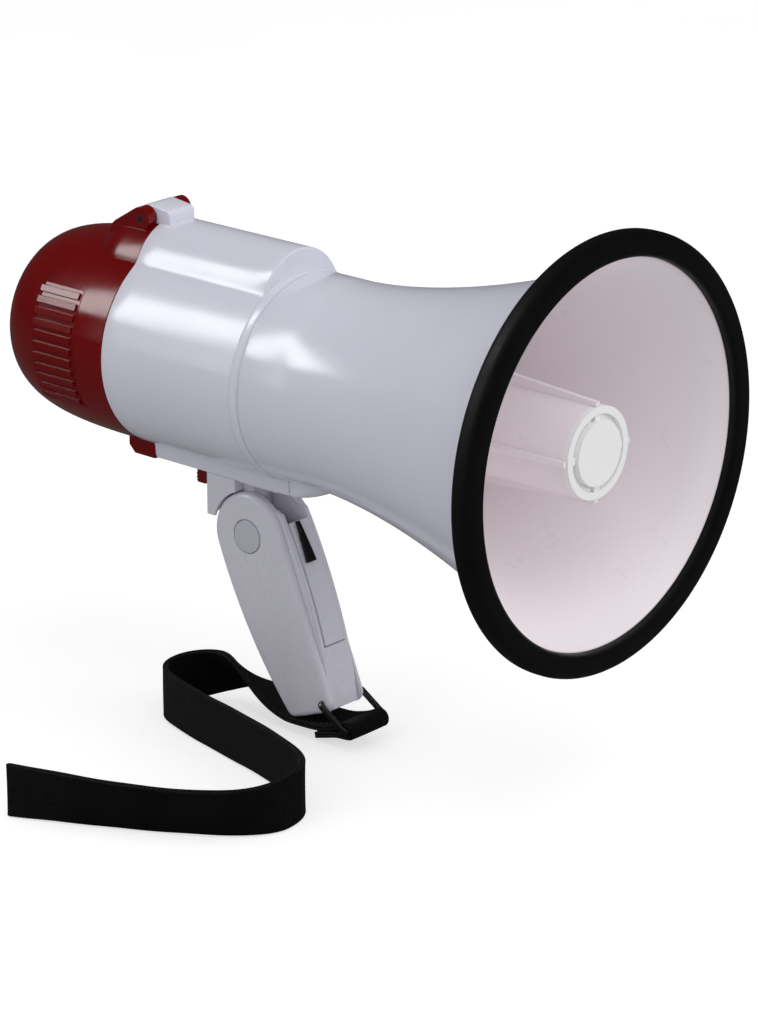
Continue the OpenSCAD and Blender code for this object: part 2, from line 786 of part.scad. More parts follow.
// White bracket under the keel: rear block, centre tongue and pivot bore
module handle_bracket() {
    top = pivot_depth - keel_depth;
    color(white) difference() {
        union() {
            side_plate(-tongue_half, tongue_half) tongue_outline();
            side_plate(-handle_half, handle_half) translate([block_x, top - 16.5]) square([14.3, 16.5]);
            translate([px + block_x, -8, -keel_depth - 1.4]) cube([34, 16, 1.4]);
        }
        // round hollow that the handle's shoulders turn in
        for (s = [-1, 1]) translate([px, s * (tongue_half + 10), pz]) bar_y(20, cheek_r + 0.4);
        translate([px, 0, pz]) bar_y(30, pivot_r + 0.02);
        translate([px + block_x - 1, 0, stem_z]) bar_x(0, 9.4, stem_r + 0.06);
        for (s = [-1, 1]) translate([bracket_screw_x, bracket_screw_y * s, -keel_depth - 30]) {
            cylinder(h = 40, r = 1.7);
            cylinder(h = 22, r = 2.9);
        }
        translate([px - 4, 0, -keel_depth - 3]) cylinder(h = 4, r = 2.5);
        // room for the trigger's lock when the handle is folded
        translate([px - 0.8, lock_y - 2.2, -keel_depth - 2]) cube([16, 4.4, 3]);
    }
}

// Two screws up into the keel
module bracket_screws() {
    color(steel) for (s = [-1, 1]) translate([bracket_screw_x, bracket_screw_y * s, -keel_depth - 8]) {
        cylinder(h = 11.5, r = 1.5);
        translate([0, 0, -1.8]) cylinder(h = 1.8, r = 2.7);
    }
}

module pivot_pin() color(steel) translate([px, 0, pz]) bar_y(2 * core_half - 0.4, pivot_r);

// Coil between the bracket and the button's head
module release_spring() {
    color(steel) translate([px + block_x - 5.2, 0, stem_z]) rotate([0, 90, 0])
        sweep(coil_frames(3, 3, 4.8, 4, 20), wire(0.3, 6));
}

// Red button on a stem that runs in the bracket's block
module fold_release_button() {
    head_x = px + block_x - 11;
    color(red) translate([0, 0, stem_z]) {
        difference() {
            translate([head_x, 4, -2.6]) rotate([90, 0, 0]) linear_extrude(8) rounded_rect(5.4, 5.2, 1.2);
            for (k = [-1:1]) translate([head_x - 0.5, -5, 1.4 * k - 0.3]) cube([0.9, 10, 0.6]);
        }
        bar_x(head_x + 5, px + block_x + 8.4 - release_travel - 0.8, stem_r);
    }
}

// ---------- handle ----------

// Rear part of the handle, inset by s: a long shallow arc from the round top to the toe
module back_outline(s = 0) {
    intersection() {
        translate(back_c) circle(back_r - s, $fn = 256);
        polygon([
            [0, 0], polar(back_c, back_r + 9, back_a + 180),
            polar(back_c, back_r + 9, back_end_a), toe_back, toe_front
        ]);
    }
}

// Solid block of the core, whose long front face is one shallow arc
module core_block() {
    inset = 0.4;
    intersection() {
        side_plate(-core_half, core_half) translate(front_c) circle(front_r, $fn = 256);
        union() {
            side_plate(-core_half, core_half) circle(cheek_r - inset);
            side_plate(-core_half, core_half) capsule(toe_back, toe_r - inset, toe_front, toe_r - inset);
            side_plate(-core_half, core_half) back_outline(inset);
            side_plate(-core_half, core_half) polygon([
                [0, 0], [8, 13], [30, 7], [48, -54],
                toe_front + [8.7, -0.7], toe_front + [1.1, -3.3], toe_back
            ]);
        }
    }
}

// Everything of the core that turns past the bracket's tongue
module tongue_room() {
    side_plate(-slot_half, slot_half) {
        circle(13.6);
        polygon([
            [0, 0], polar([0, 0], 26, 28), polar([0, 0], 34, 75),
            polar([0, 0], 34, 130), polar([0, 0], 26, 186)
        ]);
    }
}

// Sector of the front arc between two depths and two angles
module front_sector(depth0, depth1, a0, a1) {
    intersection() {
        difference() {
            translate(front_c) circle(front_r - depth0, $fn = 256);
            translate(front_c) circle(front_r - depth1, $fn = 256);
        }
        polygon([front_c, polar(front_c, 260, a0), polar(front_c, 260, a1)]);
    }
}

// Hollow spine of the handle, with a window for the trigger
module handle_core() {
    color(white) difference() {
        core_block();
        tongue_room();
        // inner hollow for the switch and its lead
        side_plate(-core_half + 2, core_half - 2) capsule([12.5, -21], 10.6, [25, -48], 6);
        // trigger window through the front wall
        side_plate(-trigger_half - 0.4, trigger_half + 0.4) {
            front_sector(-6, trigger_t + 3.8, trigger_low - 0.1, trigger_top + 8);
            translate(trigger_pin_at) circle(3);
        }
        translate([px, 0, pz]) bar_y(30, pivot_r + 0.05);
        side_plate(-20, 20) translate(trigger_pin_at) circle(1.02);
        for (p = screw_points) translate([px + p[0], 0, pz + p[1]]) bar_y(30, 1.3);
    }
}

// One side shell of the handle, on the side s: -1 right, 1 left
module cheek(s) {
    y0 = s > 0 ? core_half : -handle_half;
    y1 = y0 + handle_half - core_half;
    difference() {
        union() {
            side_plate(y0, y1) back_outline();
            side_plate(y0, y1) capsule([0, 0], cheek_r, toe_front, toe_r);
            side_plate(y0, y1) capsule(toe_back, toe_r, toe_front, toe_r);
        }
        translate([px, s * (handle_half - 0.6), pz]) bar_y(2 * 0.6 + 0.02, 6.6);
        translate([px + toe_front[0], 0, pz + toe_front[1]]) bar_y(40, bail_r + 0.08);
        if (s > 0) for (p = screw_points) translate([px + p[0], 0, pz + p[1]]) {
            bar_y(60, 1.7);
            translate([0, handle_half, 0]) bar_y(3, 2.9);
        }
        if (s < 0) for (p = screw_points) translate([px + p[0], -core_half, pz + p[1]]) bar_y(3.2, 1.25);
    }
}

module cheek_right() color(white) cheek(-1);

module cheek_left() color(white) cheek(1);

// Round covers over the two ends of the fold pivot
module pivot_covers() {
    color([0.75, 0.76, 0.8]) for (s = [-1, 1])
        translate([px, s * (handle_half - 0.4), pz]) bar_y(1.56, 6.4);
}

// Three screws from the left side into the right shell
module handle_screws() {
    color(steel) for (p = screw_points) translate([px + p[0], 0, pz + p[1]]) {
        translate([0, handle_half - 0.9, 0]) bar_y(1.2, 2.7);
        translate([0, 0.1, 0]) bar_y(2 * core_half + 2.6, 1.2);
    }
}

// ---------- trigger ----------

// Curved trigger plate with its pin lugs and the slot for the stem of its lock
module trigger() {
    color(white) difference() {
        union() {
            side_plate(-trigger_half, trigger_half) front_sector(-0.5, trigger_t, trigger_low, trigger_top);
            for (s = [-1, 1]) side_plate(s * 3.7 - 1.2, s * 3.7 + 1.2) hull() {
                translate(trigger_pin_at) circle(2.4, $fn = 32);
                translate(polar(front_c, front_r - 1.6, trigger_pin_a + 0.9)) circle(1, $fn = 32);
                translate(polar(front_c, front_r - 1.6, trigger_pin_a - 0.4)) circle(1, $fn = 32);
            }
        }
        side_plate(-20, 20) translate(trigger_pin_at) circle(1.06);
        side_plate(lock_y - 1.3, lock_y + 1.3) front_sector(-3, 6, lock_a - 1.15, lock_a + 0.45);
    }
}

module trigger_pin() {
    color(steel) translate([px, 0, pz]) rotate([90, 0, 0])
        translate(trigger_pin_at) cylinder(h = 2 * core_half - 0.4, r = 1, center = true);
}

// Coil round the trigger's pin, between its lugs
module trigger_spring() {
    color(steel) translate([px, 2.1, pz]) rotate([90, 0, 0])
        translate(trigger_pin_at)
        sweep(coil_frames(1.6, 1.6, 4.2, 4, 16), wire(0.3, 6));
}

// Small switch behind the upper part of the trigger, with its plunger
module trigger_switch() {
    color([0.12, 0.12, 0.14]) side_plate(-3.4, 3.4) translate([10.4, -27]) square([11, 9.6]);
    color("firebrick") side_plate(-1, 1) translate([21.4, -22]) square([3.4, 2]);
}

module trigger_lead() {
    color("dimgray") lead([
        [px + 15, 0, pz - 28], [px + 15, 0, pz - 31], [px + 11, 0, pz - 31],
        [px + 6.5, 0, pz - 24], [px + 6.5, 0, pz - 18]
    ], 1, [0, 1, 0]);
}

// Black tapered slide on the trigger's face that locks it
module trigger_lock() {
    at = polar(front_c, front_r, lock_a);
    color(black) translate([0, lock_y, 0]) {
        intersection() {
            side_plate(-4, 4) front_sector(-1.9, -0.68, 15, 40);
            translate([px + at[0], 0, pz + at[1]]) rotate([0, -lock_a, 0]) rotate([90, 0, 90])
                linear_extrude(12, center = true)
                polygon([
                    [-0.6, lock_len / 2], [0.6, lock_len / 2], [2.3, -lock_len / 2], [-2.3, -lock_len / 2]
                ]);
        }
        side_plate(-1.1, 1.1) front_sector(-1, trigger_t + 0.2, lock_a - 0.25, lock_a + 0.35);
        side_plate(-2.2, 2.2) front_sector(trigger_t + 0.15, trigger_t + 1, lock_a - 0.25, lock_a + 0.35);
    }
}

// ---------- strap ----------

// Bent steel wire from the two sides of the handle's foot to the crossbar
module strap_bail() {
    color(steel) {
        for (s = [-1, 1]) {
            translate([px + toe_front[0], s * (bail_half + core_half + 0.3) / 2, pz + toe_front[1]])
                bar_y(bail_half - core_half - 0.3, bail_r);
            side_plate(s * bail_half - bail_r, s * bail_half + bail_r)
                capsule(toe_front, bail_r, bar_at, bail_r);
        }
        translate([px + bar_at[0], 0, pz + bar_at[1]]) bar_y(2 * bail_half, bail_r);
    }
}

// Point on a cubic Bezier curve
function bezier(p, t) = pow(1 - t, 3) * p[0] + 3 * t * pow(1 - t, 2) * p[1]
    + 3 * t * t * (1 - t) * p[2] + pow(t, 3) * p[3];

// The strap's plan line in short steps
strap_plan = concat(
    [for (b = strap_line) for (i = [0:strap_steps - 1]) bezier(b, i / strap_steps)],
    [strap_line[4][3]]
);

// Soft wrist strap: folded round the crossbar, flat under the handle, then twisted on edge
module wrist_strap() {
    bar = [px + bar_at[0], 0, pz + bar_at[1]];
    slope = 15.5;
    back = [-cos(slope), 0, -sin(slope)];
    up = [-sin(slope), 0, cos(slope)];
    wrap_r = bail_r + 0.1 + strap_t / 4;
    layer = strap_t / 2 + 0.2;
    edge_z = floor_z + strap_w / 2;
    n = len(strap_plan);
    fold = concat(
        [for (d = [17.2, 8]) [bar + d * back - layer * up, [0, -1, 0], -up]],
        [for (a = [-90:15:90]) let(out = sin(a) * up - cos(a) * back)
            [bar + wrap_r * out, [0, -1, 0], out / 2]],
        [for (d = [8, 16]) [bar + d * back + layer * up, [0, -1, 0], up]]
    );
    run = [for (i = [0:n - 1]) let(
        q = strap_plan[max(i - 1, 0)], r = strap_plan[min(i + 1, n - 1)],
        d = unit([r[0] - q[0], r[1] - q[1], 0]),
        k = min(i / twist_steps, 1), turn = k * k * (3 - 2 * k),
        a = 90 * turn - (i > lean_step ? lean * sin(18 * (i - lean_step)) : 0),
        side = [d[1], -d[0], 0],
        z = low_z + (edge_z - low_z) * turn + lift * exp(-pow((i - lift_step) / 5, 2)))
        [[strap_plan[i][0], strap_plan[i][1], z],
            [0, 0, sin(a)] - side * cos(a), [0, 0, cos(a)] + side * sin(a)]];
    band = [
        [-strap_w / 2, -strap_t / 2], [strap_w / 2, -strap_t / 2],
        [strap_w / 2, strap_t / 2], [-strap_w / 2, strap_t / 2]
    ];
    color(black) sweep(concat(fold, run), band);
}

// ---------- assembly ----------

horn_bell();
rim_bumper();
reflector();
reflector_cap();
throat_tube();
driver_gasket();
driver_frame();
driver_top_plate();
driver_magnet();
driver_yoke();
driver_screws();
diaphragm();
voice_coil();
rear_housing();
housing_screws();
battery_tray();
battery_cells();
front_contacts();
battery_springs();
amplifier_board();
amplifier_chip();
heat_sink();
capacitors();
speaker_lead();
keel_lead();
hinge_pin();
handle_bracket();
bracket_screws();
pivot_pin();
release_spring();
fold_release_button();
rear_cap();
contact_plate();
rear_contacts();
contact_plate_screws();
microphone_grille();
microphone_capsule();
control_board();
volume_control();
mode_switch_body();
volume_knob();
mode_switch();
handle_core();
cheek_right();
cheek_left();
pivot_covers();
handle_screws();
trigger();
trigger_pin();
trigger_spring();
trigger_switch();
trigger_lead();
trigger_lock();
strap_bail();
wrist_strap();
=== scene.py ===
"""Looks of the handheld megaphone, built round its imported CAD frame."""
import json
import math
import random

import bpy
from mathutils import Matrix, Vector


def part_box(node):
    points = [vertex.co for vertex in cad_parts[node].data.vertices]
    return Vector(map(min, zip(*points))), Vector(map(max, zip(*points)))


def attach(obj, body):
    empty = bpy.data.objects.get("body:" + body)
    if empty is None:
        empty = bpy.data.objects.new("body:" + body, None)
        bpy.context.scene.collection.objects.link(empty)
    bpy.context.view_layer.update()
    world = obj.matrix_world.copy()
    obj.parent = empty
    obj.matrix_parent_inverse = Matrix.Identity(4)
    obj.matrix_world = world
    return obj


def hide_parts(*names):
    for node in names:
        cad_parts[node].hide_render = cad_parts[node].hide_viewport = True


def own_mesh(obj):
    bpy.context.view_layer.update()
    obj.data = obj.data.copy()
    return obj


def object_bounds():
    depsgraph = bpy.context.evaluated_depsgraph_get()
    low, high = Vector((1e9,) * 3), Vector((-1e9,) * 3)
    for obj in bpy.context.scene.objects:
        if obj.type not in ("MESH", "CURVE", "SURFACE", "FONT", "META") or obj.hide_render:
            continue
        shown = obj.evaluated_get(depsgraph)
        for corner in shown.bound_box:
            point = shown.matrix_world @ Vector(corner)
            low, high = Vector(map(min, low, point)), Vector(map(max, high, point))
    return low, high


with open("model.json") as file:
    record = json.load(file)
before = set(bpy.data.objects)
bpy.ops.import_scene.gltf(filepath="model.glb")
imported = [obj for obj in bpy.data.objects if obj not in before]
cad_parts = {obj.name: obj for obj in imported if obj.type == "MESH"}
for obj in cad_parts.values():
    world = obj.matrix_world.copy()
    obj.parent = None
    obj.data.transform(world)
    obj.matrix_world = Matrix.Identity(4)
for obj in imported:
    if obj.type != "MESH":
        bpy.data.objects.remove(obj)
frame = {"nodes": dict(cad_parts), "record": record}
cad_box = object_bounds()
nodes = frame["nodes"]
MM = 0.001
body_of_node = {n: b for b, ns in frame["record"]["behaviour"]["bodies"].items() for n in ns}


# ---------- materials ----------

def lin(r, g, b):
    """Linear colour from 0-255 display values."""
    def one(c):
        c /= 255
        return c / 12.92 if c <= 0.04045 else ((c + 0.055) / 1.055) ** 2.4
    return (one(r), one(g), one(b), 1)


class Finish:
    """A procedural material under construction."""

    def __init__(self, name):
        self.mat = bpy.data.materials.new(name)
        self.mat.use_nodes = True
        self.tree = self.mat.node_tree
        self.tree.nodes.clear()
        self.out = self.tree.nodes.new("ShaderNodeOutputMaterial")

    def add(self, kind, inputs=None, **attrs):
        n = self.tree.nodes.new("ShaderNode" + kind)
        for k, v in attrs.items():
            setattr(n, k, v)
        for k, v in (inputs or {}).items():
            if isinstance(v, bpy.types.NodeSocket):
                self.tree.links.new(v, n.inputs[k])
            else:
                n.inputs[k].default_value = v
        return n

    def math(self, op, a, b=0.0, clamp=False):
        n = self.add("Math", {0: a, 1: b}, operation=op, use_clamp=clamp)
        return n.outputs[0]

    def coords(self, scale=(1, 1, 1), source="Object"):
        tc = self.add("TexCoord")
        m = self.add("Mapping", {"Vector": tc.outputs[source], "Scale": scale})
        return m.outputs["Vector"]

    def noise(self, vec, scale, detail=3.0, rough=0.55, distortion=0.0):
        n = self.add("TexNoise", {"Vector": vec, "Scale": scale, "Detail": detail,
                                  "Roughness": rough, "Distortion": distortion})
        return n.outputs["Fac"]

    def ramp(self, fac, lo, hi, a=0.0, b=1.0):
        n = self.add("MapRange", {"Value": fac, "From Min": lo, "From Max": hi, "To Min": a, "To Max": b})
        return n.outputs["Result"]

    def mix(self, fac, a, b, blend="MIX"):
        n = self.add("Mix", data_type="RGBA", blend_type=blend)
        for sock, v in ((n.inputs[0], fac), (n.inputs[6], a), (n.inputs[7], b)):
            if isinstance(v, bpy.types.NodeSocket):
                self.tree.links.new(v, sock)
            else:
                sock.default_value = v
        return n.outputs[2]

    def surface(self, **inputs):
        shader = self.add("BsdfPrincipled", {k.replace("_", " "): v for k, v in inputs.items()})
        self.tree.links.new(shader.outputs[0], self.out.inputs["Surface"])
        return self.mat


def shade(color, k):
    return tuple(min(1.0, c * k) for c in color[:3]) + (1,)


def moulded(name, color, rough=0.2, vary=0.05, grain=1400.0, depth=0.006, edge=0.35, worn=None, wear=0.5,
            dust=None, scratches=0.25, spec=0.5, metallic=0.0, streak=None, glow=0.0):
    """Moulded or machined surface: cloudy colour, fine grain, scratches, worn edges, settled dust. A glow
    above 0 adds emission in the surface colour, which is painted light.
    """
    f = Finish(name)
    at = f.coords()
    cloud = f.noise(at, 22.0, 4.0)
    base = f.mix(f.ramp(cloud, 0.3, 0.7), shade(color, 1 - vary), shade(color, 1 + vary))
    speck = f.noise(at, 420.0, 2.0)
    base = f.mix(f.ramp(speck, 0.62, 0.8, 0, 3 * vary), base, shade(color, 0.8))
    bevel = f.add("Bevel", {"Radius": edge * MM}, samples=4)
    geo = f.add("NewGeometry")
    dot = f.add("VectorMath", {0: bevel.outputs[0], 1: geo.outputs["Normal"]}, operation="DOT_PRODUCT")
    patchy = f.noise(at, 160.0, 3.0)
    corner = f.math("MULTIPLY", f.ramp(dot.outputs["Value"], 0.995, 0.9), f.ramp(patchy, 0.38, 0.66), True)
    worn_mask = f.math("MULTIPLY", corner, wear)
    base = f.mix(worn_mask, base, worn or shade(color, 1.15))
    if dust:
        up = f.add("SeparateXYZ", {0: geo.outputs["Normal"]}).outputs["Z"]
        settled = f.math("MULTIPLY", f.ramp(up, 0.35, 1.0), f.ramp(f.noise(at, 75.0, 5.0), 0.3, 0.9), True)
        base = f.mix(f.math("MULTIPLY", settled, 0.1), base, dust)
    rub = f.noise(f.coords(streak or (1, 1, 1)), 260.0 if streak else 48.0, 5.0, 0.65)
    roughness = f.ramp(rub, 0.3, 0.72, rough * 0.8, rough * 1.25)
    roughness = f.math("ADD", roughness, f.math("MULTIPLY", worn_mask, 0.18), True)
    lines = f.noise(f.coords((3, 1.2, 0.25)), 310.0, 2.0, 0.5, 0.6)
    hair = f.ramp(lines, 0.72, 0.8)
    roughness = f.math("ADD", roughness, f.math("MULTIPLY", hair, 0.10 * scratches), True)
    fine = f.noise(at, grain, 3.0)
    soft = f.noise(at, 55.0, 2.0)
    height = f.math("ADD", f.math("MULTIPLY", fine, depth), f.math("MULTIPLY", soft, 0.03))
    height = f.math("SUBTRACT", height, f.math("MULTIPLY", hair, 0.004 * scratches))
    bump = f.add("Bump", {"Strength": 0.7, "Distance": MM, "Height": height, "Normal": bevel.outputs[0]})
    # glow is painted light: the surface gives off its own colour though it is no lamp
    extra = {"Emission_Color": color, "Emission_Strength": glow} if glow else {}
    return f.surface(Base_Color=base, Roughness=roughness, Metallic=metallic, Specular_IOR_Level=spec,
                     Normal=bump.outputs[0], **extra)


WHITE = lin(226, 226, 238)
white_gloss = moulded("white_gloss_abs", WHITE, rough=0.17, vary=0.018, depth=0.003,
                      worn=lin(206, 204, 208), wear=0.35, dust=lin(196, 188, 176), scratches=0.5, edge=0.4)
# Inner faces of the horn and the reflector: a brighter, pinker copy of the white plastic with a weak glow,
# painted light for the light that reaches deep into the horn.
white_inside_painted_glow = moulded("white_inner_abs_painted_glow", lin(238, 230, 234), rough=0.32, vary=0.012, depth=0.004,
                       worn=lin(216, 210, 212), wear=0.3, scratches=0.1, glow=0.06)
white_bright = moulded("white_reflector_abs", lin(250, 249, 249), rough=0.3, vary=0.008, depth=0.004,
                       worn=lin(224, 222, 222), wear=0.3, scratches=0.3)
white_satin = moulded("white_satin_abs", lin(224, 223, 233), rough=0.26, vary=0.022, depth=0.006,
                      worn=lin(196, 194, 200), wear=0.4, dust=lin(196, 188, 176), scratches=0.6, edge=0.5)
red_gloss = moulded("red_gloss_abs", lin(112, 1, 2), rough=0.16, vary=0.08, depth=0.004,
                    worn=lin(136, 16, 18), wear=0.4, scratches=0.7, edge=0.4, spec=0.4)
red_button = moulded("red_button_abs", lin(104, 3, 5), rough=0.3, vary=0.08, depth=0.004,
                     worn=lin(150, 30, 30), wear=0.5, edge=0.3)
rubber = moulded("black_rubber", lin(12, 12, 11), rough=0.5, vary=0.22, grain=2200.0, depth=0.012, spec=0.2,
                 worn=lin(38, 37, 36), wear=0.6, scratches=0.5, edge=0.5)
black_abs = moulded("black_satin_abs", lin(17, 16, 18), rough=0.38, vary=0.18, grain=1500.0, depth=0.008,
                    spec=0.4, worn=lin(70, 68, 70), wear=0.6, scratches=0.6)
grey_abs = moulded("grey_moulded_abs", lin(92, 92, 95), rough=0.42, vary=0.08, depth=0.01,
                   worn=lin(126, 126, 128))
steel = moulded("bright_steel", lin(186, 188, 192), rough=0.24, vary=0.06, grain=1800.0, depth=0.004,
                metallic=1.0, worn=lin(220, 222, 226), wear=0.5, scratches=1.0, edge=0.2,
                streak=(1, 0.2, 1))
zinc = moulded("zinc_plated_steel", lin(168, 166, 158), rough=0.36, vary=0.1, grain=1200.0, depth=0.008,
               metallic=1.0, worn=lin(206, 204, 198), edge=0.2)
brass = moulded("brass_strip", lin(206, 168, 92), rough=0.3, vary=0.1, grain=1600.0, depth=0.005,
                metallic=1.0, worn=lin(228, 196, 128), edge=0.15, streak=(0.3, 1, 1))
copper = moulded("enamelled_copper", lin(170, 92, 50), rough=0.32, vary=0.12, grain=3000.0, depth=0.02,
                 metallic=0.85, edge=0.1, streak=(1, 0.1, 0.1))
ferrite = moulded("ferrite_magnet", lin(58, 58, 62), rough=0.55, vary=0.14, grain=900.0, depth=0.02,
                  worn=lin(92, 92, 96))
paper = moulded("pressed_cone", lin(196, 182, 150), rough=0.6, vary=0.06, grain=900.0, depth=0.02)
aluminium = moulded("extruded_aluminium", lin(196, 198, 202), rough=0.35, vary=0.05, metallic=1.0,
                    grain=1500.0, depth=0.006, edge=0.15, streak=(1, 0.15, 1))
red_wire = moulded("red_wire_insulation", lin(150, 26, 22), rough=0.35, vary=0.08, depth=0.006)
grey_wire = moulded("grey_wire_insulation", lin(92, 92, 96), rough=0.4, vary=0.08, depth=0.006)
sleeve = moulded("capacitor_sleeve", lin(34, 44, 84), rough=0.28, vary=0.07, depth=0.004,
                 worn=lin(150, 152, 156))
cell_wrap = moulded("cell_wrapper", lin(44, 52, 66), rough=0.22, vary=0.06, depth=0.003,
                    worn=lin(150, 150, 152), wear=0.4)


def board_finish():
    """Solder mask over faint copper tracks."""
    f = Finish("green_circuit_board")
    at = f.coords()
    cells = f.add("TexBrick", {"Vector": at, "Scale": 260.0, "Mortar Size": 0.03, "Brick Width": 0.9,
                               "Row Height": 0.5, "Color1": lin(18, 84, 46), "Color2": lin(20, 92, 52),
                               "Mortar": lin(42, 128, 78)})
    cloud = f.noise(at, 60.0, 4.0)
    base = f.mix(f.ramp(cloud, 0.3, 0.7, 0, 0.35), cells.outputs["Color"], lin(14, 66, 38))
    height = f.math("MULTIPLY", cells.outputs["Fac"], 0.03)
    bump = f.add("Bump", {"Strength": 0.6, "Distance": MM, "Height": height})
    return f.surface(Base_Color=base, Roughness=f.ramp(cloud, 0.3, 0.7, 0.25, 0.42), Normal=bump.outputs[0])


def webbing_finish(name, color, pitch=1.3, depth=0.22):
    """Black nylon webbing: warp ribs crossed by the weft, with fuzz and a shine on the high threads. The
    colour is painted lighter on the thread crowns and darker in the gaps between threads: painted highlight
    and painted shade.
    """
    f = Finish(name)
    uv = f.add("UVMap", uv_map="weave").outputs[0]
    xy = f.add("SeparateXYZ", {0: uv})
    turn = 2 * math.pi / pitch
    across = f.math("MULTIPLY", xy.outputs["X"], turn)
    along = f.math("MULTIPLY", xy.outputs["Y"], turn * 0.8)
    warp = f.math("SINE", across)
    step = f.math("SIGN", warp)
    weft = f.math("SINE", f.math("ADD", along, f.math("MULTIPLY", step, math.pi / 2)))
    thread = f.math("MULTIPLY", f.math("ABSOLUTE", warp), f.math("ADD", f.math("MULTIPLY", weft, 0.5), 0.5))
    at = f.coords()
    fuzz = f.noise(at, 3800.0, 2.0)
    cloud = f.noise(at, 70.0, 4.0)
    # painted highlight on the thread crowns and painted shade in the gaps: the black colour runs from darker
    # to lighter with the weave height
    base = f.mix(f.ramp(thread, 0.0, 0.9), shade(color, 0.45), shade(color, 1.35))
    base = f.mix(f.ramp(cloud, 0.35, 0.7, 0, 0.45), base, shade(color, 1.9))
    base = f.mix(f.ramp(fuzz, 0.6, 0.8, 0, 0.2), base, lin(40, 39, 40))
    height = f.math("ADD", f.math("MULTIPLY", thread, depth), f.math("MULTIPLY", fuzz, 0.05))
    bump = f.add("Bump", {"Strength": 0.9, "Distance": MM, "Height": height})
    rough = f.ramp(thread, 0.0, 1.0, 0.85, 0.55)
    return f.surface(Base_Color=base, Roughness=rough, Specular_IOR_Level=0.3, Sheen_Weight=0.04,
                     Sheen_Roughness=0.5, Sheen_Tint=lin(120, 118, 120), Normal=bump.outputs[0])


# Dark grey metal with light worn edges, for the bail wire and the hinge pin.
dark_wire = moulded("dark_grey_steel", lin(92, 90, 88), rough=0.3, vary=0.14, grain=1500.0, depth=0.006,
                    metallic=1.0, worn=lin(196, 194, 188), wear=0.8, edge=0.2)
boss_grey = moulded("white_boss_abs", lin(206, 207, 216), rough=0.3, vary=0.02, depth=0.008,
                    worn=lin(190, 190, 196), wear=0.4, edge=0.5)
board = board_finish()
webbing = webbing_finish("black_nylon_webbing", lin(9, 9, 10))
thread = moulded("bonded_black_thread", lin(20, 19, 21), rough=0.42, vary=0.2, grain=5200.0, depth=0.03)


# ---------- shared shapes ----------

def smooth_group(angle):
    """Modifier for a CAD mesh: joins split corners and shades it smooth, except at edges over the angle."""
    g = bpy.data.node_groups.new("smooth_under_%d" % angle, "GeometryNodeTree")
    g.interface.new_socket("Geometry", in_out="INPUT", socket_type="NodeSocketGeometry")
    g.interface.new_socket("Geometry", in_out="OUTPUT", socket_type="NodeSocketGeometry")
    n, link = g.nodes, g.links.new
    enter, leave = n.new("NodeGroupInput"), n.new("NodeGroupOutput")
    drop = n.new("GeometryNodeRemoveAttribute")
    drop.inputs["Name"].default_value = "custom_normal"
    merge = n.new("GeometryNodeMergeByDistance")
    merge.inputs["Distance"].default_value = 2e-6
    faces = n.new("GeometryNodeSetShadeSmooth")
    faces.domain = "FACE"
    faces.inputs["Shade Smooth"].default_value = True
    turn = n.new("GeometryNodeInputMeshEdgeAngle")
    over = n.new("FunctionNodeCompare")
    over.operation = "GREATER_THAN"
    over.inputs[1].default_value = math.radians(angle)
    edges = n.new("GeometryNodeSetShadeSmooth")
    edges.domain = "EDGE"
    edges.inputs["Shade Smooth"].default_value = False
    link(enter.outputs[0], drop.inputs["Geometry"])
    link(drop.outputs[0], merge.inputs["Geometry"])
    link(merge.outputs[0], faces.inputs["Geometry"])
    link(faces.outputs[0], edges.inputs["Geometry"])
    link(turn.outputs["Unsigned Angle"], over.inputs[0])
    link(over.outputs[0], edges.inputs["Selection"])
    link(edges.outputs[0], leave.inputs[0])
    return g


SMOOTH = smooth_group(28)


def finish_node(name, material):
    """Gives a CAD node its material and smooth shading."""
    o = nodes[name]
    o.data.materials.clear()
    o.data.materials.append(material)
    for p in o.data.polygons:
        p.use_smooth = True
    group = o.modifiers.new("smooth", "NODES")
    group.node_group = SMOOTH


def new_piece(name, verts, faces, material, stands_for=None, body=None, uvs=None, marks=None, angle=30):
    """A mesh in millimetres becomes a piece on its body.

    uvs holds one pair a vertex, marks one material a face."""
    mesh = bpy.data.meshes.new(name)
    mesh.from_pydata([Vector(v) * MM for v in verts], [], faces)
    mesh.update()
    for m in (material if isinstance(material, list) else [material]):
        mesh.materials.append(m)
    if marks:
        for p, m in zip(mesh.polygons, marks):
            p.material_index = m
    if uvs:
        layer = mesh.uv_layers.new(name="weave")
        for loop in mesh.loops:
            layer.data[loop.index].uv = uvs[loop.vertex_index]
    for p in mesh.polygons:
        p.use_smooth = True
    mesh.set_sharp_from_angle(angle=math.radians(angle))
    mesh.validate()
    o = bpy.data.objects.new(name, mesh)
    bpy.context.scene.collection.objects.link(o)
    if stands_for:
        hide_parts(*stands_for)
        body = body or body_of_node[stands_for[0]]
    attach(o, body)
    return o


def rounded(points, steps=5):
    """Closed outline through (x, r, fillet radius) corners, with each corner turned into an arc."""
    out = []
    n = len(points)
    for i, p in enumerate(points):
        q, s = Vector(points[i - 1][:2]), Vector(points[(i + 1) % n][:2])
        c = Vector(p[:2])
        a, b = q - c, s - c
        if p[2] <= 0 or a.length < 1e-6 or b.length < 1e-6:
            out.append(tuple(c))
            continue
        half = a.angle(b) / 2
        if half > math.radians(86):
            out.append(tuple(c))
            continue
        cut = min(p[2] / math.tan(half), a.length * 0.49, b.length * 0.49)
        r = cut * math.tan(half)
        mid = c + (a.normalized() + b.normalized()).normalized() * (r / math.sin(half))
        start = c + a.normalized() * cut
        end = c + b.normalized() * cut
        a0 = math.atan2(start.y - mid.y, start.x - mid.x)
        a1 = math.atan2(end.y - mid.y, end.x - mid.x)
        turn = (a1 - a0 + math.pi) % (2 * math.pi) - math.pi
        for k in range(steps + 1):
            t = a0 + turn * k / steps
            out.append((mid.x + r * math.cos(t), mid.y + r * math.sin(t)))
    return out


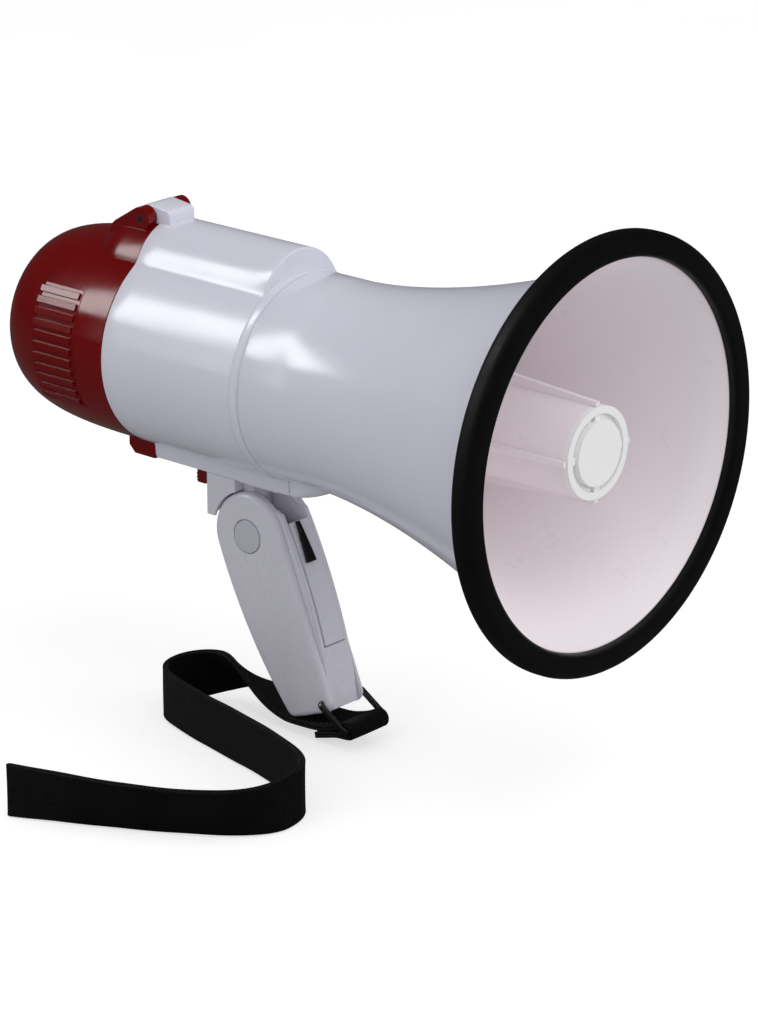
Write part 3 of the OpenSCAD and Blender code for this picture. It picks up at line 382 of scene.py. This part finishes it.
def lathe(profile, segments=160):
    """Closed (x, r) outline spun round the X axis: vertices and faces, the faces facing outwards."""
    verts, faces = [], []
    n = len(profile)
    for j in range(segments):
        t = 2 * math.pi * j / segments
        verts += [(x, r * math.cos(t), r * math.sin(t)) for x, r in profile]
    area = sum(profile[i - 1][0] * profile[i][1] - profile[i][0] * profile[i - 1][1] for i in range(n))
    for j in range(segments):
        k = (j + 1) % segments
        for i in range(n):
            m = (i + 1) % n
            f = (j * n + i, k * n + i, k * n + m, j * n + m)
            faces.append(f if area < 0 else f[::-1])
    return verts, faces


def sweep(points, frames, section):
    """Section (across, up) carried along points with (across, up) frames, with flat ends."""
    verts, faces = [], []
    n = len(section)
    for p, (a, u) in zip(points, frames):
        verts += [Vector(p) + Vector(a) * s[0] + Vector(u) * s[1] for s in section]
    m = len(points)
    for i in range(m - 1):
        for j in range(n):
            q = (j + 1) % n
            faces.append((i * n + j, i * n + q, (i + 1) * n + q, (i + 1) * n + j))
    faces.append(tuple(range(n - 1, -1, -1)))
    faces.append(tuple(range((m - 1) * n, m * n)))
    return verts, faces


def circle(r, n=20):
    return [(r * math.cos(2 * math.pi * k / n), r * math.sin(2 * math.pi * k / n)) for k in range(n)]


def soft_path(points, radius, steps=7):
    """Bent line with each inner corner turned into an arc of about the radius."""
    pts = [Vector(p) for p in points]
    out = [pts[0]]
    for p, c, q in zip(pts, pts[1:], pts[2:]):
        a, b = p - c, q - c
        cut = min(radius, a.length * 0.49, b.length * 0.49)
        s, e = c + a.normalized() * cut, c + b.normalized() * cut
        for k in range(steps + 1):
            t = k / steps
            out.append((1 - t) ** 2 * s + 2 * t * (1 - t) * c + t * t * e)
    return out + [pts[-1]]


def tube_frames(path):
    """Frames that turn as little as they can along a path."""
    frames = []
    up = Vector((0.13, 0.29, 0.95))
    for i in range(len(path)):
        d = (path[min(i + 1, len(path) - 1)] - path[max(i - 1, 0)]).normalized()
        side = d.cross(up).normalized()
        up = side.cross(d).normalized()
        frames.append((up, side))
    return frames


def hull(points):
    """Convex outline round 2-D points, anticlockwise."""
    pts = sorted(set((round(p[0], 5), round(p[1], 5)) for p in points))

    def half(seq):
        out = []
        for p in seq:
            while len(out) > 1 and ((out[-1][0] - out[-2][0]) * (p[1] - out[-2][1])
                                    - (out[-1][1] - out[-2][1]) * (p[0] - out[-2][0])) <= 1e-9:
                out.pop()
            out.append(p)
        return out[:-1]
    return half(pts) + half(pts[::-1])


def arc(centre, r, a0, a1, n):
    return [(centre[0] + r * math.cos(math.radians(a0 + (a1 - a0) * k / n)),
             centre[1] + r * math.sin(math.radians(a0 + (a1 - a0) * k / n))) for k in range(n + 1)]


def inset(outline, d):
    """Anticlockwise outline moved inwards by d."""
    out = []
    n = len(outline)
    for i, p in enumerate(outline):
        a = Vector(p) - Vector(outline[i - 1])
        b = Vector(outline[(i + 1) % n]) - Vector(p)
        na, nb = Vector((-a.y, a.x)).normalized(), Vector((-b.y, b.x)).normalized()
        m = (na + nb) / max(0.5, 1 + na.dot(nb))
        out.append(tuple(Vector(p) + m * d))
    return out


def slab(outline, y0, y1, edge0, edge1, steps=6):
    """Anticlockwise XZ outline made into a plate from y0 to y1, with rounded edges of their own radius."""
    rings = [(y0 + edge0 * (1 - math.cos(math.pi / 2 * k / steps)),
              edge0 * (1 - math.sin(math.pi / 2 * k / steps))) for k in range(steps + 1)]
    rings += [(y1 - edge1 * (1 - math.cos(math.pi / 2 * k / steps)),
               edge1 * (1 - math.sin(math.pi / 2 * k / steps))) for k in range(steps, -1, -1)]
    verts, faces = [], []
    n = len(outline)
    for y, d in rings:
        verts += [(x, y, z) for x, z in inset(outline, d)]
    for i in range(len(rings) - 1):
        for j in range(n):
            k = (j + 1) % n
            faces.append((i * n + j, (i + 1) * n + j, (i + 1) * n + k, i * n + k))
    faces.append(tuple(range(n)))
    faces.append(tuple(range(len(rings) * n - 1, (len(rings) - 1) * n - 1, -1)))
    return verts, faces


def joined(*parts):
    verts, faces = [], []
    for v, f in parts:
        faces += [tuple(i + len(verts) for i in face) for face in f]
        verts += v
    return verts, faces


def brick(lo, hi, edge=0.2):
    x0, y0, z0 = lo
    x1, y1, z1 = hi
    return slab([(x0, z0), (x1, z0), (x1, z1), (x0, z1)], y0, y1, edge, edge, 2)


def drum(centre, y0, y1, r, n=48):
    """Plain disc whose axis lies across the handle."""
    ring = arc(centre, r, 0, 360 - 360 / n, n - 1)
    verts = [(x, y, z) for y in (y0, y1) for x, z in ring]
    faces = [(j, n + j, n + (j + 1) % n, (j + 1) % n) for j in range(n)]
    return verts, faces + [tuple(range(n)), tuple(range(2 * n - 1, n - 1, -1))]


def cut_away(o, parts):
    """Subtracts shapes from a piece for good."""
    tools = []
    for verts, faces in parts:
        mesh = bpy.data.meshes.new("tool")
        mesh.from_pydata([Vector(v) * MM for v in verts], [], faces)
        mesh.update()
        t = bpy.data.objects.new("tool", mesh)
        bpy.context.scene.collection.objects.link(t)
        m = o.modifiers.new("cut", "BOOLEAN")
        m.operation, m.solver, m.object = "DIFFERENCE", "MANIFOLD", t
        tools.append(t)
    bpy.context.view_layer.update()
    done = bpy.data.meshes.new_from_object(o.evaluated_get(bpy.context.evaluated_depsgraph_get()))
    o.modifiers.clear()
    o.data = done
    for p in done.polygons:
        p.use_smooth = True
    done.set_sharp_from_angle(angle=math.radians(30))
    for t in tools:
        bpy.data.objects.remove(t)


# ---------- CAD nodes that keep their shape ----------

KEPT = {
    white_bright: ["reflector_cap"],
    dark_wire: ["hinge_pin"],
    white_satin: ["handle_bracket", "handle_core", "trigger"],
    red_button: ["fold_release_button"],
    grey_abs: ["throat_tube", "driver_frame", "volume_control", "mode_switch_body"],
    rubber: ["driver_gasket"],
    black_abs: ["battery_tray", "contact_plate", "microphone_grille", "volume_knob", "mode_switch",
                "trigger_switch", "trigger_lock", "amplifier_chip"],
    zinc: ["driver_top_plate", "driver_yoke", "driver_screws", "housing_screws", "bracket_screws",
           "contact_plate_screws", "handle_screws", "microphone_capsule"],
    steel: ["pivot_pin", "trigger_pin", "trigger_spring", "battery_springs"],
    brass: ["front_contacts", "rear_contacts"],
    copper: ["voice_coil"],
    ferrite: ["driver_magnet"],
    paper: ["diaphragm"],
    aluminium: ["heat_sink"],
    red_wire: ["speaker_lead"],
    grey_wire: ["keel_lead", "trigger_lead"],
    sleeve: ["capacitors"],
    cell_wrap: ["battery_cells"],
    board: ["amplifier_board", "control_board"],
    # the reflector takes the inner copy of the white plastic, with its painted glow
    white_inside_painted_glow: ["reflector"],
}
for material, names in KEPT.items():
    for name in names:
        finish_node(name, material)
finish_node("rear_cap", red_gloss)


# ---------- horn and rim ----------

def box_mm(name):
    lo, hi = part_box(name)
    return lo / MM, hi / MM


rim_lo, rim_hi = box_mm("rim_bumper")
rim_r = rim_hi.z
rim_depth = -rim_lo.x
rim_w = 9.3
neck_r = box_mm("rear_housing")[1].y - 0.2
seam_x = -143.0
flare_len = 125.0
mouth_r = rim_r - rim_w + 0.1


def horn_r(x):
    flare = neck_r + (mouth_r - neck_r) * max(0.0, 1 + x / flare_len) ** 1.65
    return flare + (5.6 * math.exp(x / 7) if x > -flare_len else 0)


def build_horn():
    wall, steps = 2.0, 90
    outer = [(-6 - (flare_len - 6) * i / steps) for i in range(steps + 1)]
    inner = [(-flare_len + (flare_len - 4) * i / steps) for i in range(steps + 1)]
    lip = rim_r - 4
    ledge = (-121.0, -124.0)
    outline = [(-4, lip, 0.4), (-6, lip, 0.4), (-6, horn_r(-6) + 0.2, 0.8)]
    outline += [(x, horn_r(x), 0) for x in outer[1:]]
    outline += [(seam_x, neck_r, 0.45), (seam_x, neck_r - wall, 0.3)]
    outline += [(ledge[1], neck_r - wall, 0.4), (ledge[1], 31, 0.4), (ledge[0], 31, 0.4),
                (ledge[0], horn_r(ledge[0]) - wall, 0.8)]
    outline += [(x, horn_r(x) - wall, 0) for x in inner if x > ledge[0] + 1]
    profile = rounded(outline)
    verts, faces = lathe(profile, 192)
    n = len(profile)
    first_inner = next(i for i, (x, r) in enumerate(profile)
                       if abs(r - (neck_r - wall)) < 0.5 and x > seam_x + 5)
    # inner faces take the copy of the white plastic that carries painted light (brighter, pinker and glowing)
    marks = [1 if i % n >= first_inner else 0 for i in range(len(faces))]
    new_piece("horn", verts, faces, [white_gloss, white_inside_painted_glow], ["horn_bell"], marks=marks)


def build_keel_nose():
    """Rounded front end of the keel, in layers from the neck down."""
    half, depth = KEEL_HALF, -box_mm("rear_housing")[0].z
    verts, faces = [], []
    layers, around = 14, 28
    top = -neck_r * 0.86
    for i in range(layers + 1):
        t = i / layers
        z = top - (depth + top) * math.sin(t * math.pi / 2)
        drop = 1 - (max(0.0, (-z - (depth - 9)) / 9)) ** 2
        reach = 3 + 14 * math.sqrt(max(drop, 0.02))
        edge = 1.6 * (1 - math.cos(t * math.pi / 2)) ** 3
        for k in range(around + 1):
            a = -math.pi / 2 + math.pi * k / around
            y = (half - edge) * math.copysign(abs(math.sin(a)) ** 0.75, math.sin(a))
            x = seam_x + reach * abs(math.cos(a)) ** 0.9
            verts.append((x, y, z))
    row = around + 1
    for i in range(layers):
        for k in range(around):
            faces.append((i * row + k, (i + 1) * row + k, (i + 1) * row + k + 1, i * row + k + 1))
    faces.append(tuple(range(row)))
    faces.append(tuple(layers * row + k for k in range(around, -1, -1)))
    faces.append(tuple([i * row for i in range(layers, -1, -1)]
                       + [i * row + around for i in range(layers + 1)]))
    new_piece("keel_nose", verts, faces, white_gloss, body=body_of_node["horn_bell"], angle=40)


def build_rim():
    r0, r1 = rim_r - rim_w, rim_r
    outline = [(-rim_depth, r1, 3.4), (-rim_depth, r0 + 0.4, 1.0),
               (-4.6, r0, 0.4), (0, r0, 3.2), (0, r1, 3.8)]
    verts, faces = lathe(rounded(outline, 10), 224)
    new_piece("rim", verts, faces, rubber, ["rim_bumper"])


def blend_max(a, b, k):
    return 0.5 * (a + b + math.sqrt((a - b) ** 2 + k * k))


def blend_min(a, b, k):
    return 0.5 * (a + b - math.sqrt((a - b) ** 2 + k * k))


HUMP_Z = 27.0
HUMP_R = 21.0
KEEL_HALF = 11.5
CAP_X = -212.0
BULKHEAD_FRONT, BULKHEAD_REAR = -150.5, -152.5
HINGE = (-217.5, 48.6)


def housing_outline(body, hump, keel_half, keel_depth, soft=1.0):
    """Radius at each angle of the barrel with its hump and keel. A hump or keel of 0 is left out."""
    out = []
    count = 288
    for j in range(count):
        t = 2 * math.pi * j / count
        c, s = math.cos(t), math.sin(t)
        r = body
        under = hump * hump - (HUMP_Z * c) ** 2
        if hump and s > 0 and under > 0:
            r = blend_max(r, HUMP_Z * s + math.sqrt(under), 1.1 * soft)
        if keel_half and s < 0:
            side = keel_half / max(abs(c), 1e-6)
            r = blend_max(r, blend_min(side, keel_depth / abs(s), 2.6 * soft), 1.6 * soft)
        out.append(r)
    return out


def edge_round(r, t):
    """(inset along the axis, inset of the radius) of an edge fillet at angle t."""
    return r * (1 - math.cos(t)), r * (1 - math.sin(t))


def housing_stations():
    """(x, outline) from the front cavity over the outside to the rear cavity."""
    lo, hi = box_mm("rear_housing")
    body, hump, half, depth = hi.y, HUMP_R, KEEL_HALF, -lo.z
    wall, groove = 2.0, 0.7
    dot = housing_outline(0.01, 0, 0, 0)
    tube = housing_outline(body - wall, 0, 0, 0)
    sunk = housing_outline(body - groove, 0, half - 0.5, depth - 0.5)
    inner = housing_outline(body - wall, hump - wall, half - wall, depth - wall, 0.6)
    front = seam_x - 4
    out = [(BULKHEAD_FRONT, dot), (BULKHEAD_FRONT, tube), (seam_x, tube),
           (seam_x, sunk), (seam_x - 0.66, sunk)]
    for k in range(4):
        along, d = edge_round(0.5, math.pi / 6 * k)
        out.append((seam_x - groove - along, housing_outline(body - d, 0, half - d, depth - d)))
    out += [(front + 0.9, housing_outline(body, 0, half, depth)),
            (front + 0.35, housing_outline(body + 0.1, 13.2, half, depth)),
            (front + 0.05, housing_outline(body + 0.3, 15.5, half, depth))]
    for k in range(7):
        along, d = edge_round(0.9, math.pi / 12 * k)
        out.append((front - along, housing_outline(body, hump - d, half, depth)))
    for x in (-155, -165, -175, -185, -195, -205):
        out.append((x, housing_outline(body, hump, half, depth)))
    for k in range(4):
        d, along = edge_round(0.4, math.pi / 6 * k)
        out.append((CAP_X + along, housing_outline(body - d, hump - d, half - d, depth - d)))
    return out + [(CAP_X, inner), (BULKHEAD_REAR, inner), (BULKHEAD_REAR, dot)]


def build_housing():
    """Outer shell, its two cavities and the bulkhead between them, the rails and the hinge knuckle."""
    stations = housing_stations()
    n = len(stations[0][1])
    verts, faces = [], []
    for x, outline in stations:
        for j, r in enumerate(outline):
            t = 2 * math.pi * j / n
            verts.append((x, r * math.cos(t), r * math.sin(t)))
    for i in range(len(stations) - 1):
        for j in range(n):
            k = (j + 1) % n
            faces.append((i * n + j, (i + 1) * n + j, (i + 1) * n + k, i * n + k))
    faces += [tuple(range(n)), tuple(range(len(verts) - 1, len(verts) - n - 1, -1))]
    hx, hz = HINGE
    knob = hull(arc(HINGE, 4.7, 20, 330, 40) + [(hx + 2.4, hz + 4.1)]
                + arc((hx + 8.4, hz + 1.4), 2.3, 80, 10, 6)
                + [(hx + 10.8, hz - 4), (hx + 1.5, hz - 4.4)])
    parts = [(verts, faces), slab(knob, -6.8, 6.8, 0.5, 0.5, 4)]
    for y in (-17.0, 12.4):
        parts.append(brick((CAP_X + 6, y, 34.0), (CAP_X + 54, y + 4.6, 36.0)))
    verts, faces = joined(*parts)
    new_piece("housing", verts, faces, white_gloss, ["rear_housing"], angle=32)


build_horn()
build_keel_nose()
build_rim()
build_housing()


# ---------- handle shells ----------

px, pz = -166.2, -65.6


def build_cheeks():
    """Side shells with a round outer edge, the left one with its sunk screw seats."""
    half = box_mm("cheek_left")[1].y
    core = box_mm("cheek_left")[0].y
    head_r, toe_r, back_r, back_a, end_a = 16.8, 4.0, 211.0, 20.7, 219.55
    front = (37.4, -57.4)
    centre = [(back_r - head_r) * f(math.radians(back_a)) for f in (math.cos, math.sin)]
    rear = [centre[k] + (back_r - toe_r) * f(math.radians(end_a)) for k, f in enumerate((math.cos, math.sin))]
    pts = arc((0, 0), head_r, 0, 357, 119) + arc(centre, back_r, back_a + 180, end_a, 40)
    pts += arc(rear, toe_r, 0, 350, 35) + arc(front, toe_r, 0, 350, 35)
    outline = hull([(px + x, pz + z) for x, z in pts])
    seats = [(-10.5, -9), (12.5, -46.5), (30, -58.5)]
    for side in (-1, 1):
        name = "cheek_left" if side > 0 else "cheek_right"
        y0, y1 = (core, half) if side > 0 else (-half, -core)
        edges = (0.25, 2.2) if side > 0 else (2.2, 0.25)
        verts, faces = slab(outline, y0, y1, *edges)
        o = new_piece("shell_left" if side > 0 else "shell_right", verts, faces, white_satin, [name])
        ring = (half - 0.7, half + 2) if side > 0 else (-half - 2, -half + 0.7)
        tools = [drum((px, pz), ring[0], ring[1], 6.75, 64)]
        if side > 0:
            tools += [drum((px + x, pz + z), half - 1.4, half + 2, 2.95, 32) for x, z in seats]
        cut_away(o, tools)
    lo, hi = box_mm("pivot_covers")
    covers = [slab(arc((px, pz), 6.4, 0, 354, 59), lo.y, -half + 0.6, 0.45, 0.1, 5),
              slab(arc((px, pz), 6.4, 0, 354, 59), half - 0.6, hi.y, 0.1, 0.45, 5)]
    verts, faces = joined(*covers)
    new_piece("pivot_caps", verts, faces, boss_grey, ["pivot_covers"])


build_cheeks()


# ---------- release spring ----------

def build_release_spring():
    """Coil between the button and the bracket, built at one length; the real spring shortens as the button
    goes in.
    """
    lo, hi = box_mm("release_spring")
    thick, turns, per_turn = 0.3, 4, 28
    r = (hi.y - lo.y) / 2 - thick
    mid_z = (lo.z + hi.z) / 2
    length = hi.x - lo.x - 2 * thick
    path = []
    for k in range(turns * per_turn + 1):
        t = 2 * math.pi * k / per_turn
        path.append(Vector((lo.x + thick + length * k / (turns * per_turn), r * math.cos(t),
                            mid_z + r * math.sin(t))))
    verts, faces = sweep(path, tube_frames(path), circle(thick, 10))
    o = new_piece("button_spring", verts, faces, steel, ["release_spring"])
    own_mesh(o)


build_release_spring()


# ---------- strap bail ----------

toe = (px + 37.4, pz - 57.4)
bar = (px + 49.9, pz - 65.4)
bail_r = 1.2
bail_half = box_mm("strap_bail")[1].y - bail_r


def build_bail():
    inner = 7.9
    corners = [(toe[0], -inner, toe[1]), (toe[0], -bail_half, toe[1]), (bar[0], -bail_half, bar[1]),
               (bar[0], bail_half, bar[1]), (toe[0], bail_half, toe[1]), (toe[0], inner, toe[1])]
    path = soft_path(corners, 2.6)
    verts, faces = sweep(path, tube_frames(path), circle(bail_r, 18))
    new_piece("bail_wire", verts, faces, dark_wire, ["strap_bail"])


build_bail()


# ---------- wrist strap ----------

STRAP_LINE = [
    [(-146, 0), (-162, 0), (-175, 2), (-184, -1)],
    [(-184, -1), (-194, -4), (-203, -21), (-190, -30)],
    [(-190, -30), (-179, -37.6), (-140, -42), (-110, -52)],
    [(-110, -52), (-94, -57.5), (-86, -64), (-86, -79)],
    [(-86, -79), (-86, -101), (-118, -115), (-168, -134)],
]
strap_w, layer_t = 20.0, 1.12
floor_z = box_mm("wrist_strap")[0].z
low_z = floor_z + 3.8


def bezier(p, t):
    return [(1 - t) ** 3 * p[0][k] + 3 * t * (1 - t) ** 2 * p[1][k] + 3 * t * t * (1 - t) * p[2][k]
            + t ** 3 * p[3][k] for k in (0, 1)]


def plan(i):
    k = min(int(i / 10), 4)
    return bezier(STRAP_LINE[k], i / 10 - k)


def strap_course():
    """Middle of the doubled webbing with (across, up) frames, from the sewn end to the far fold."""
    slope = math.radians(15.5)
    back = Vector((-math.cos(slope), 0, -math.sin(slope)))
    up = Vector((-math.sin(slope), 0, math.cos(slope)))
    centre = Vector((bar[0], 0, bar[1]))
    side = Vector((0, -1, 0))
    near, wide = layer_t + 0.12, bail_r + 0.1 + layer_t
    pts, frames = [], []

    def put(p, across, normal):
        pts.append(p)
        frames.append((across.normalized(), normal.normalized()))

    def off(d):
        t = min(d / 8, 1)
        t = t * t * (3 - 2 * t)
        return wide + (near - wide) * t

    for k in range(14):
        d = 17.2 * (1 - k / 13)
        put(centre + back * d - up * off(d), side, -up)
    for k in range(1, 12):
        a = math.radians(-90 + 15 * k)
        out = math.sin(a) * up - math.cos(a) * back
        put(centre + out * wide, side, out)
    for k in range(13):
        d = 16.0 * k / 12
        put(centre + back * d + up * off(d), side, up)
    edge_z = floor_z + strap_w / 2
    steps = 300
    for m in range(steps + 1):
        i = 50 * m / steps
        q, r = plan(max(i - 0.2, 0)), plan(min(i + 0.2, 50))
        d = Vector((r[0] - q[0], r[1] - q[1], 0)).normalized()
        k = min(i / 16, 1)
        turn = k * k * (3 - 2 * k)
        a = math.radians(90 * turn - (20 * math.sin(math.radians(18 * (i - 40))) if i > 40 else 0))
        s = Vector((d[1], -d[0], 0))
        here = plan(i)
        z = low_z + (edge_z - low_z) * turn + 6 * math.exp(-((i - 7) / 5) ** 2)
        put(Vector((here[0], here[1], z)), Vector((0, 0, math.sin(a))) - s * math.cos(a),
            Vector((0, 0, math.cos(a))) + s * math.sin(a))
    return pts, frames


def eased(pts, frames, rounds=3):
    """Relaxes the course a little where the sewn end runs into the loose strap."""
    for _ in range(rounds):
        new = list(pts)
        for i in range(30, 70):
            new[i] = (pts[i - 1] + 2 * pts[i] + pts[i + 1]) / 4
        pts = new
    return pts, frames


def webbing_section(half_w, half_t, n=22):
    """Flat band section with rounded, slightly thicker selvedges. Gives (across, up) points."""
    out = []
    for k in range(n):
        u = -1 + 2 * k / (n - 1)
        thick = half_t * (1 + 0.10 * max(0, abs(u) - 0.86) / 0.14)
        out.append((u * (half_w - half_t * 0.6), thick))
    edge_r = [(half_w - half_t * 0.2, half_t * 0.62), (half_w, 0), (half_w - half_t * 0.2, -half_t * 0.62)]
    lower = [(-u, -t) for u, t in out]
    return out + edge_r + lower + [(-u, -t) for u, t in edge_r]


def build_strap():
    pts, frames = eased(*strap_course())
    # outer layer out to the far end, round the fold, and back as the inner layer
    gap = layer_t / 2 + 0.03
    course, turns = [], []
    for p, (a, u) in zip(pts, frames):
        course.append(p + u * gap)
        turns.append((a, u))
    end, (a, u) = pts[-1], frames[-1]
    along = (pts[-1] - pts[-2]).normalized()
    for k in range(1, 8):
        t = math.pi * k / 8
        course.append(end + u * gap * math.cos(t) + along * gap * 1.5 * math.sin(t))
        turns.append((a, u * math.cos(t) + along * math.sin(t)))
    for p, (a, u) in zip(reversed(pts), reversed(frames)):
        course.append(p - u * gap)
        turns.append((a, -u))
    section = webbing_section(strap_w / 2, layer_t / 2)[::-1]
    verts, faces = sweep(course, turns, section)
    n = len(section)
    run = [0.0]
    for p, q in zip(course, course[1:]):
        run.append(run[-1] + (q - p).length)
    rng = random.Random(7)
    phase = [rng.uniform(0, 6.28) for _ in range(4)]
    uvs = []
    for i, d in enumerate(run):
        for s in section:
            uvs.append((s[0], d))
    # the edges wander a little, as soft webbing does
    for i in range(len(course)):
        d = run[i]
        wander = 0.18 * math.sin(d / 9.5 + phase[0]) + 0.12 * math.sin(d / 4.1 + phase[1])
        cup = 0.25 * math.sin(d / 21 + phase[2])
        a, u = turns[i]
        for j, s in enumerate(section):
            v = verts[i * n + j]
            e = s[0] / (strap_w / 2)
            verts[i * n + j] = v + a * wander * e * 0.6 + u * cup * (e * e - 0.4) * 0.5
    low = floor_z
    verts = [Vector((v.x, v.y, max(v.z, low))) for v in verts]
    new_piece("strap", verts, faces, webbing, ["wrist_strap"], uvs=uvs, angle=50)
    return pts, frames


def stitch_row(verts, faces, a, b, normal, pitch=2.6, length=1.9, r=0.32):
    """Lock stitches from a to b that stand proud of the cloth."""
    d = b - a
    count = max(1, int(d.length / pitch))
    d.normalize()
    side = normal.cross(d).normalized()
    for k in range(count):
        mid = a + d * (pitch * (k + 0.5))
        base = len(verts)
        rings = 5
        for i in range(rings):
            t = -1 + 2 * i / (rings - 1)
            w = r * math.sqrt(max(0.05, 1 - t * t * 0.9))
            c = mid + d * (t * length / 2) + normal * (r * 0.5 * (1 - t * t))
            for j in range(6):
                g = 2 * math.pi * j / 6
                verts.append(c + side * (w * math.cos(g)) + normal * (w * 0.8 * math.sin(g)))
        for i in range(rings - 1):
            for j in range(6):
                q = (j + 1) % 6
                low, high = base + i * 6, base + (i + 1) * 6
                faces.append((low + j, low + q, high + q, high + j))
        faces.append(tuple(base + j for j in range(5, -1, -1)))
        faces.append(tuple(base + (rings - 1) * 6 + j for j in range(6)))


def build_stitches(pts, frames):
    """Box with a cross, sewn through the four layers behind the bail."""
    slope = math.radians(15.5)
    back = Vector((-math.cos(slope), 0, -math.sin(slope)))
    up = Vector((-math.sin(slope), 0, math.cos(slope)))
    centre = Vector((bar[0], 0, bar[1]))
    verts, faces = [], []
    top = 2 * layer_t + 0.16
    for s in (1, -1):
        n = up * s
        o = centre + n * (top + 0.02)
        y = strap_w / 2 - 2.2
        d0, d1 = 8.4, 16.2
        c = [o + back * d0 + Vector((0, y, 0)), o + back * d1 + Vector((0, y, 0)),
             o + back * d1 - Vector((0, y, 0)), o + back * d0 - Vector((0, y, 0))]
        for a, b in ((0, 1), (1, 2), (2, 3), (3, 0), (0, 2), (1, 3)):
            stitch_row(verts, faces, c[a], c[b], n)
    new_piece("strap_stitches", verts, faces, thread, body=body_of_node["wrist_strap"], angle=60)


strap_pts, strap_frames = build_strap()
build_stitches(strap_pts, strap_frames)


# ---------- stage, light and camera ----------

def build_stage():
    mesh = bpy.data.meshes.new("floor")
    z = cad_box[0].z - 0.0005
    mesh.from_pydata([(-6, -6, z), (6, -6, z), (6, 6, z), (-6, 6, z)], [], [(0, 1, 2, 3)])
    floor = bpy.data.objects.new("floor", mesh)
    bpy.context.scene.collection.objects.link(floor)
    f = Finish("pale_floor")
    cloud = f.noise(f.coords(), 6.0, 3.0)
    base = f.mix(f.ramp(cloud, 0.3, 0.7), (0.57, 0.57, 0.57, 1), (0.60, 0.60, 0.60, 1))
    path = f.add("LightPath").outputs
    base = f.mix(path["Is Glossy Ray"], base, (0.12, 0.12, 0.12, 1))
    glow = f.math("MULTIPLY", path["Is Camera Ray"], 0.62)
    mesh.materials.append(f.surface(Base_Color=base, Roughness=0.9, Specular_IOR_Level=0.1,
                                    Emission_Color=(1, 1, 1, 1), Emission_Strength=glow))


def area_light(name, direction, distance, width, height, radiance, color=(1, 1, 1), roll=0.0,
               diffuse=True, glossy=True, target=(-0.14, 0, 0)):
    """Softbox in the given direction from the target, with its brightness given as radiance."""
    light = bpy.data.lights.new(name, "AREA")
    light.shape = "RECTANGLE"
    light.size, light.size_y = width, height
    light.energy = radiance * width * height * math.pi
    light.color = color
    o = bpy.data.objects.new(name, light)
    bpy.context.scene.collection.objects.link(o)
    d = Vector(direction).normalized()
    o.location = Vector(target) + d * distance
    o.rotation_euler = d.to_track_quat("Z", "Y").to_euler()
    o.rotation_euler.rotate_axis("Z", roll)
    o.visible_diffuse = diffuse
    o.visible_glossy = glossy
    o.visible_camera = False
    return o


def build_light():
    scene = bpy.context.scene
    world = bpy.data.worlds.new("studio")
    scene.world = world
    world.use_nodes = True
    tree = world.node_tree
    tree.nodes.clear()
    out = tree.nodes.new("ShaderNodeOutputWorld")
    back = tree.nodes.new("ShaderNodeBackground")
    path = tree.nodes.new("ShaderNodeLightPath")
    level = tree.nodes.new("ShaderNodeMapRange")
    level.inputs["To Min"].default_value = 0.5
    level.inputs["To Max"].default_value = 0.05
    tree.links.new(path.outputs["Is Glossy Ray"], level.inputs["Value"])
    tree.links.new(level.outputs[0], back.inputs["Strength"])
    back.inputs["Color"].default_value = (0.97, 0.98, 1.0, 1)
    tree.links.new(back.outputs[0], out.inputs["Surface"])
    area_light("key", (0.45, -0.2, 1.0), 2.2, 1.8, 1.8, 1.35, glossy=False)
    area_light("fill", (1.0, 0.45, 0.36), 2.4, 1.5, 1.5, 2.4, glossy=False)
    area_light("side", (-0.05, -1.0, 0.5), 2.4, 1.4, 1.2, 1.15, glossy=False)
    area_light("strip_high", (-0.62, -0.482, 0.629), 1.5, 0.30, 1.1, 9.0, roll=0.0, diffuse=False)
    area_light("strip_low", (-0.62, -0.725, 0.305), 1.5, 0.10, 0.9, 2.6, roll=0.0, diffuse=False)
    scene.view_settings.view_transform = "Standard"


def build_camera():
    to_camera = Vector((0.6199, -0.7101, 0.3340)).normalized()
    target = Vector((-0.0576, -0.0593, -0.0191))
    camera = bpy.data.cameras.new("camera")
    camera.lens = 150.55
    camera.sensor_width = 36
    camera.clip_end = 50
    o = bpy.data.objects.new("camera", camera)
    bpy.context.scene.collection.objects.link(o)
    o.location = target + to_camera * 1.5
    o.rotation_euler = to_camera.to_track_quat("Z", "Y").to_euler()
    bpy.context.scene.camera = o


build_stage()
build_light()
build_camera()
bpy.context.view_layer.update()
